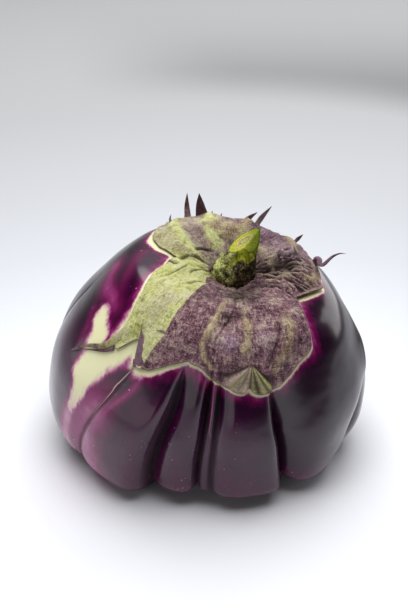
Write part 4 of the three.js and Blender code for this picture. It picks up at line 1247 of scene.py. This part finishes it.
# %% Floor and backdrop
SHEET_LEFT, SHEET_RIGHT, SHEET_FRONT, SHEET_BACK = -3.0, 3.0, -3.0, 0.75
SWEEP_RADIUS, BACKDROP_HEIGHT = 0.25, 0.9
bend = np.linspace(0, math.pi / 2, 13)
profile = [(SHEET_FRONT, 0.0)]
profile += [(SHEET_BACK + SWEEP_RADIUS * math.sin(a), SWEEP_RADIUS * (1 - math.cos(a)))
            for a in bend]
profile.append((SHEET_BACK + SWEEP_RADIUS, BACKDROP_HEIGHT))
sweep_points = [(x, y, z) for y, z in profile for x in (SHEET_LEFT, SHEET_RIGHT)]
sweep_faces = [(2 * k, 2 * k + 1, 2 * k + 3, 2 * k + 2) for k in range(len(profile) - 1)]
floor_mesh = bpy.data.meshes.new("floor")
floor_mesh.from_pydata(sweep_points, [], sweep_faces)
floor_mesh.shade_smooth()
floor = bpy.data.objects.new("floor", floor_mesh)
bpy.context.scene.collection.objects.link(floor)

# Painted falloff of light: the floor's colour darkens away from the fruit, and dark grey is painted
# round it.
FLOOR_BRIGHTEST = -0.07  # the lightest place of the floor is this far in front of the stalk
FLOOR_NEAR, FLOOR_FAR = 0.10, 0.62  # the floor darkens between these distances from there
FLOOR_COLOURS = [
    (0.0, (0.87, 0.88, 0.92)), (0.115, (0.745, 0.765, 0.81)), (0.213, (0.63, 0.648, 0.692)),
    (0.332, (0.55, 0.562, 0.592)), (0.523, (0.465, 0.474, 0.488)), (0.704, (0.435, 0.443, 0.453)),
    (0.88, (0.405, 0.409, 0.419)), (1.0, (0.372, 0.376, 0.383))]
DIM_FROM, DIM_TO = 0.28, 0.34  # painted shade: the sheet turns dark grey between these distances from the middle
DIM_OVAL = (1, 0.9, 0)  # along an oval that is a little longer from front to back
DIM_BACK = (0.2, 0.5)  # but not behind the fruit, beyond these places
DIM_LEFT, DIM_SLANT = (-0.02, 0.1), 0.2  # and not at the left of a slanting line through it
DIM_GREY = (0.09, 0.09, 0.095)

f = Finish("white_sweep")
from_fruit = f.add("ShaderNodeVectorMath", {0: f.space(), 1: (0, FLOOR_BRIGHTEST, 0)}, "Value",
                   operation="DISTANCE")
far_share = f.add("ShaderNodeMapRange", {
    "Value": from_fruit, "From Min": FLOOR_NEAR, "From Max": FLOOR_FAR})
floor_colour = f.colours(far_share, FLOOR_COLOURS)
across, along = (f.add("ShaderNodeSeparateXYZ", {0: f.space()}, axis) for axis in "XY")
from_middle = f.add("ShaderNodeVectorMath", {0: f.stretched(DIM_OVAL)}, "Value", operation="LENGTH")
dim = f.times(f.span(from_middle, DIM_FROM, DIM_TO), f.span(along, *DIM_BACK[::-1]))
dim = f.times(dim, f.span(f.plus(across, f.times(along, DIM_SLANT)), *DIM_LEFT))
floor_colour = f.blend(dim, floor_colour, DIM_GREY)
f.to_shader(Base_Color=floor_colour, Roughness=0.9, Specular_IOR_Level=0.0)
floor.data.materials.append(f.material)

# %% Lamp and room
LAMPS = {  # width and depth or height in m, place, and brightness in W for each square metre
    "softbox_above": (1.15, 1.8, (0.0, 0.26, 1.15), 11.7),
    "card_left": (2.0, 0.31, (-0.655, -0.305, 0.155), 3.0),
    "card_behind_right": (0.75, 0.5, (0.66, 0.60, 0.25), 6.8)}
for name, (width, depth, where, brightness) in LAMPS.items():
    lamp_data = bpy.data.lights.new(name, "AREA")
    lamp_data.shape = "RECTANGLE"
    lamp_data.size, lamp_data.size_y = width, depth
    lamp_data.energy = brightness * width * depth
    lamp = bpy.data.objects.new(name, lamp_data)
    lamp.location = where
    lamp.visible_camera = False
    if name.startswith("card"):  # an area lamp shines down, and a card has to face the fruit
        lamp.rotation_euler = (math.pi / 2, 0, math.atan2(where[0], -where[1]))
    bpy.context.scene.collection.objects.link(lamp)
    print(name, "gives", round(lamp_data.energy, 1), "W")

ROOM_LIGHT = 0.02
world = bpy.data.worlds.new("room")
world.use_nodes = True
background = world.node_tree.nodes["Background"].inputs
background["Color"].default_value = (1, 1, 1, 1)
background["Strength"].default_value = ROOM_LIGHT
bpy.context.scene.world = world
bpy.context.scene.view_settings.view_transform = "Standard"

# %% [markdown]
# ## Hand over
#
# Each finished surface is hung under the root, and the piece of the construction model it stands for is
# hidden.

# %% Hang the surfaces under the root and hide their construction pieces
for made, node, slot in ((fruit, "fruit", "skin"), (calyx, "calyx", "calyx"),
                         (stalk, "stalk", "stalk")):
    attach(made, "root")
    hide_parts(node)
for tip in horns:
    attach(tip, "root")
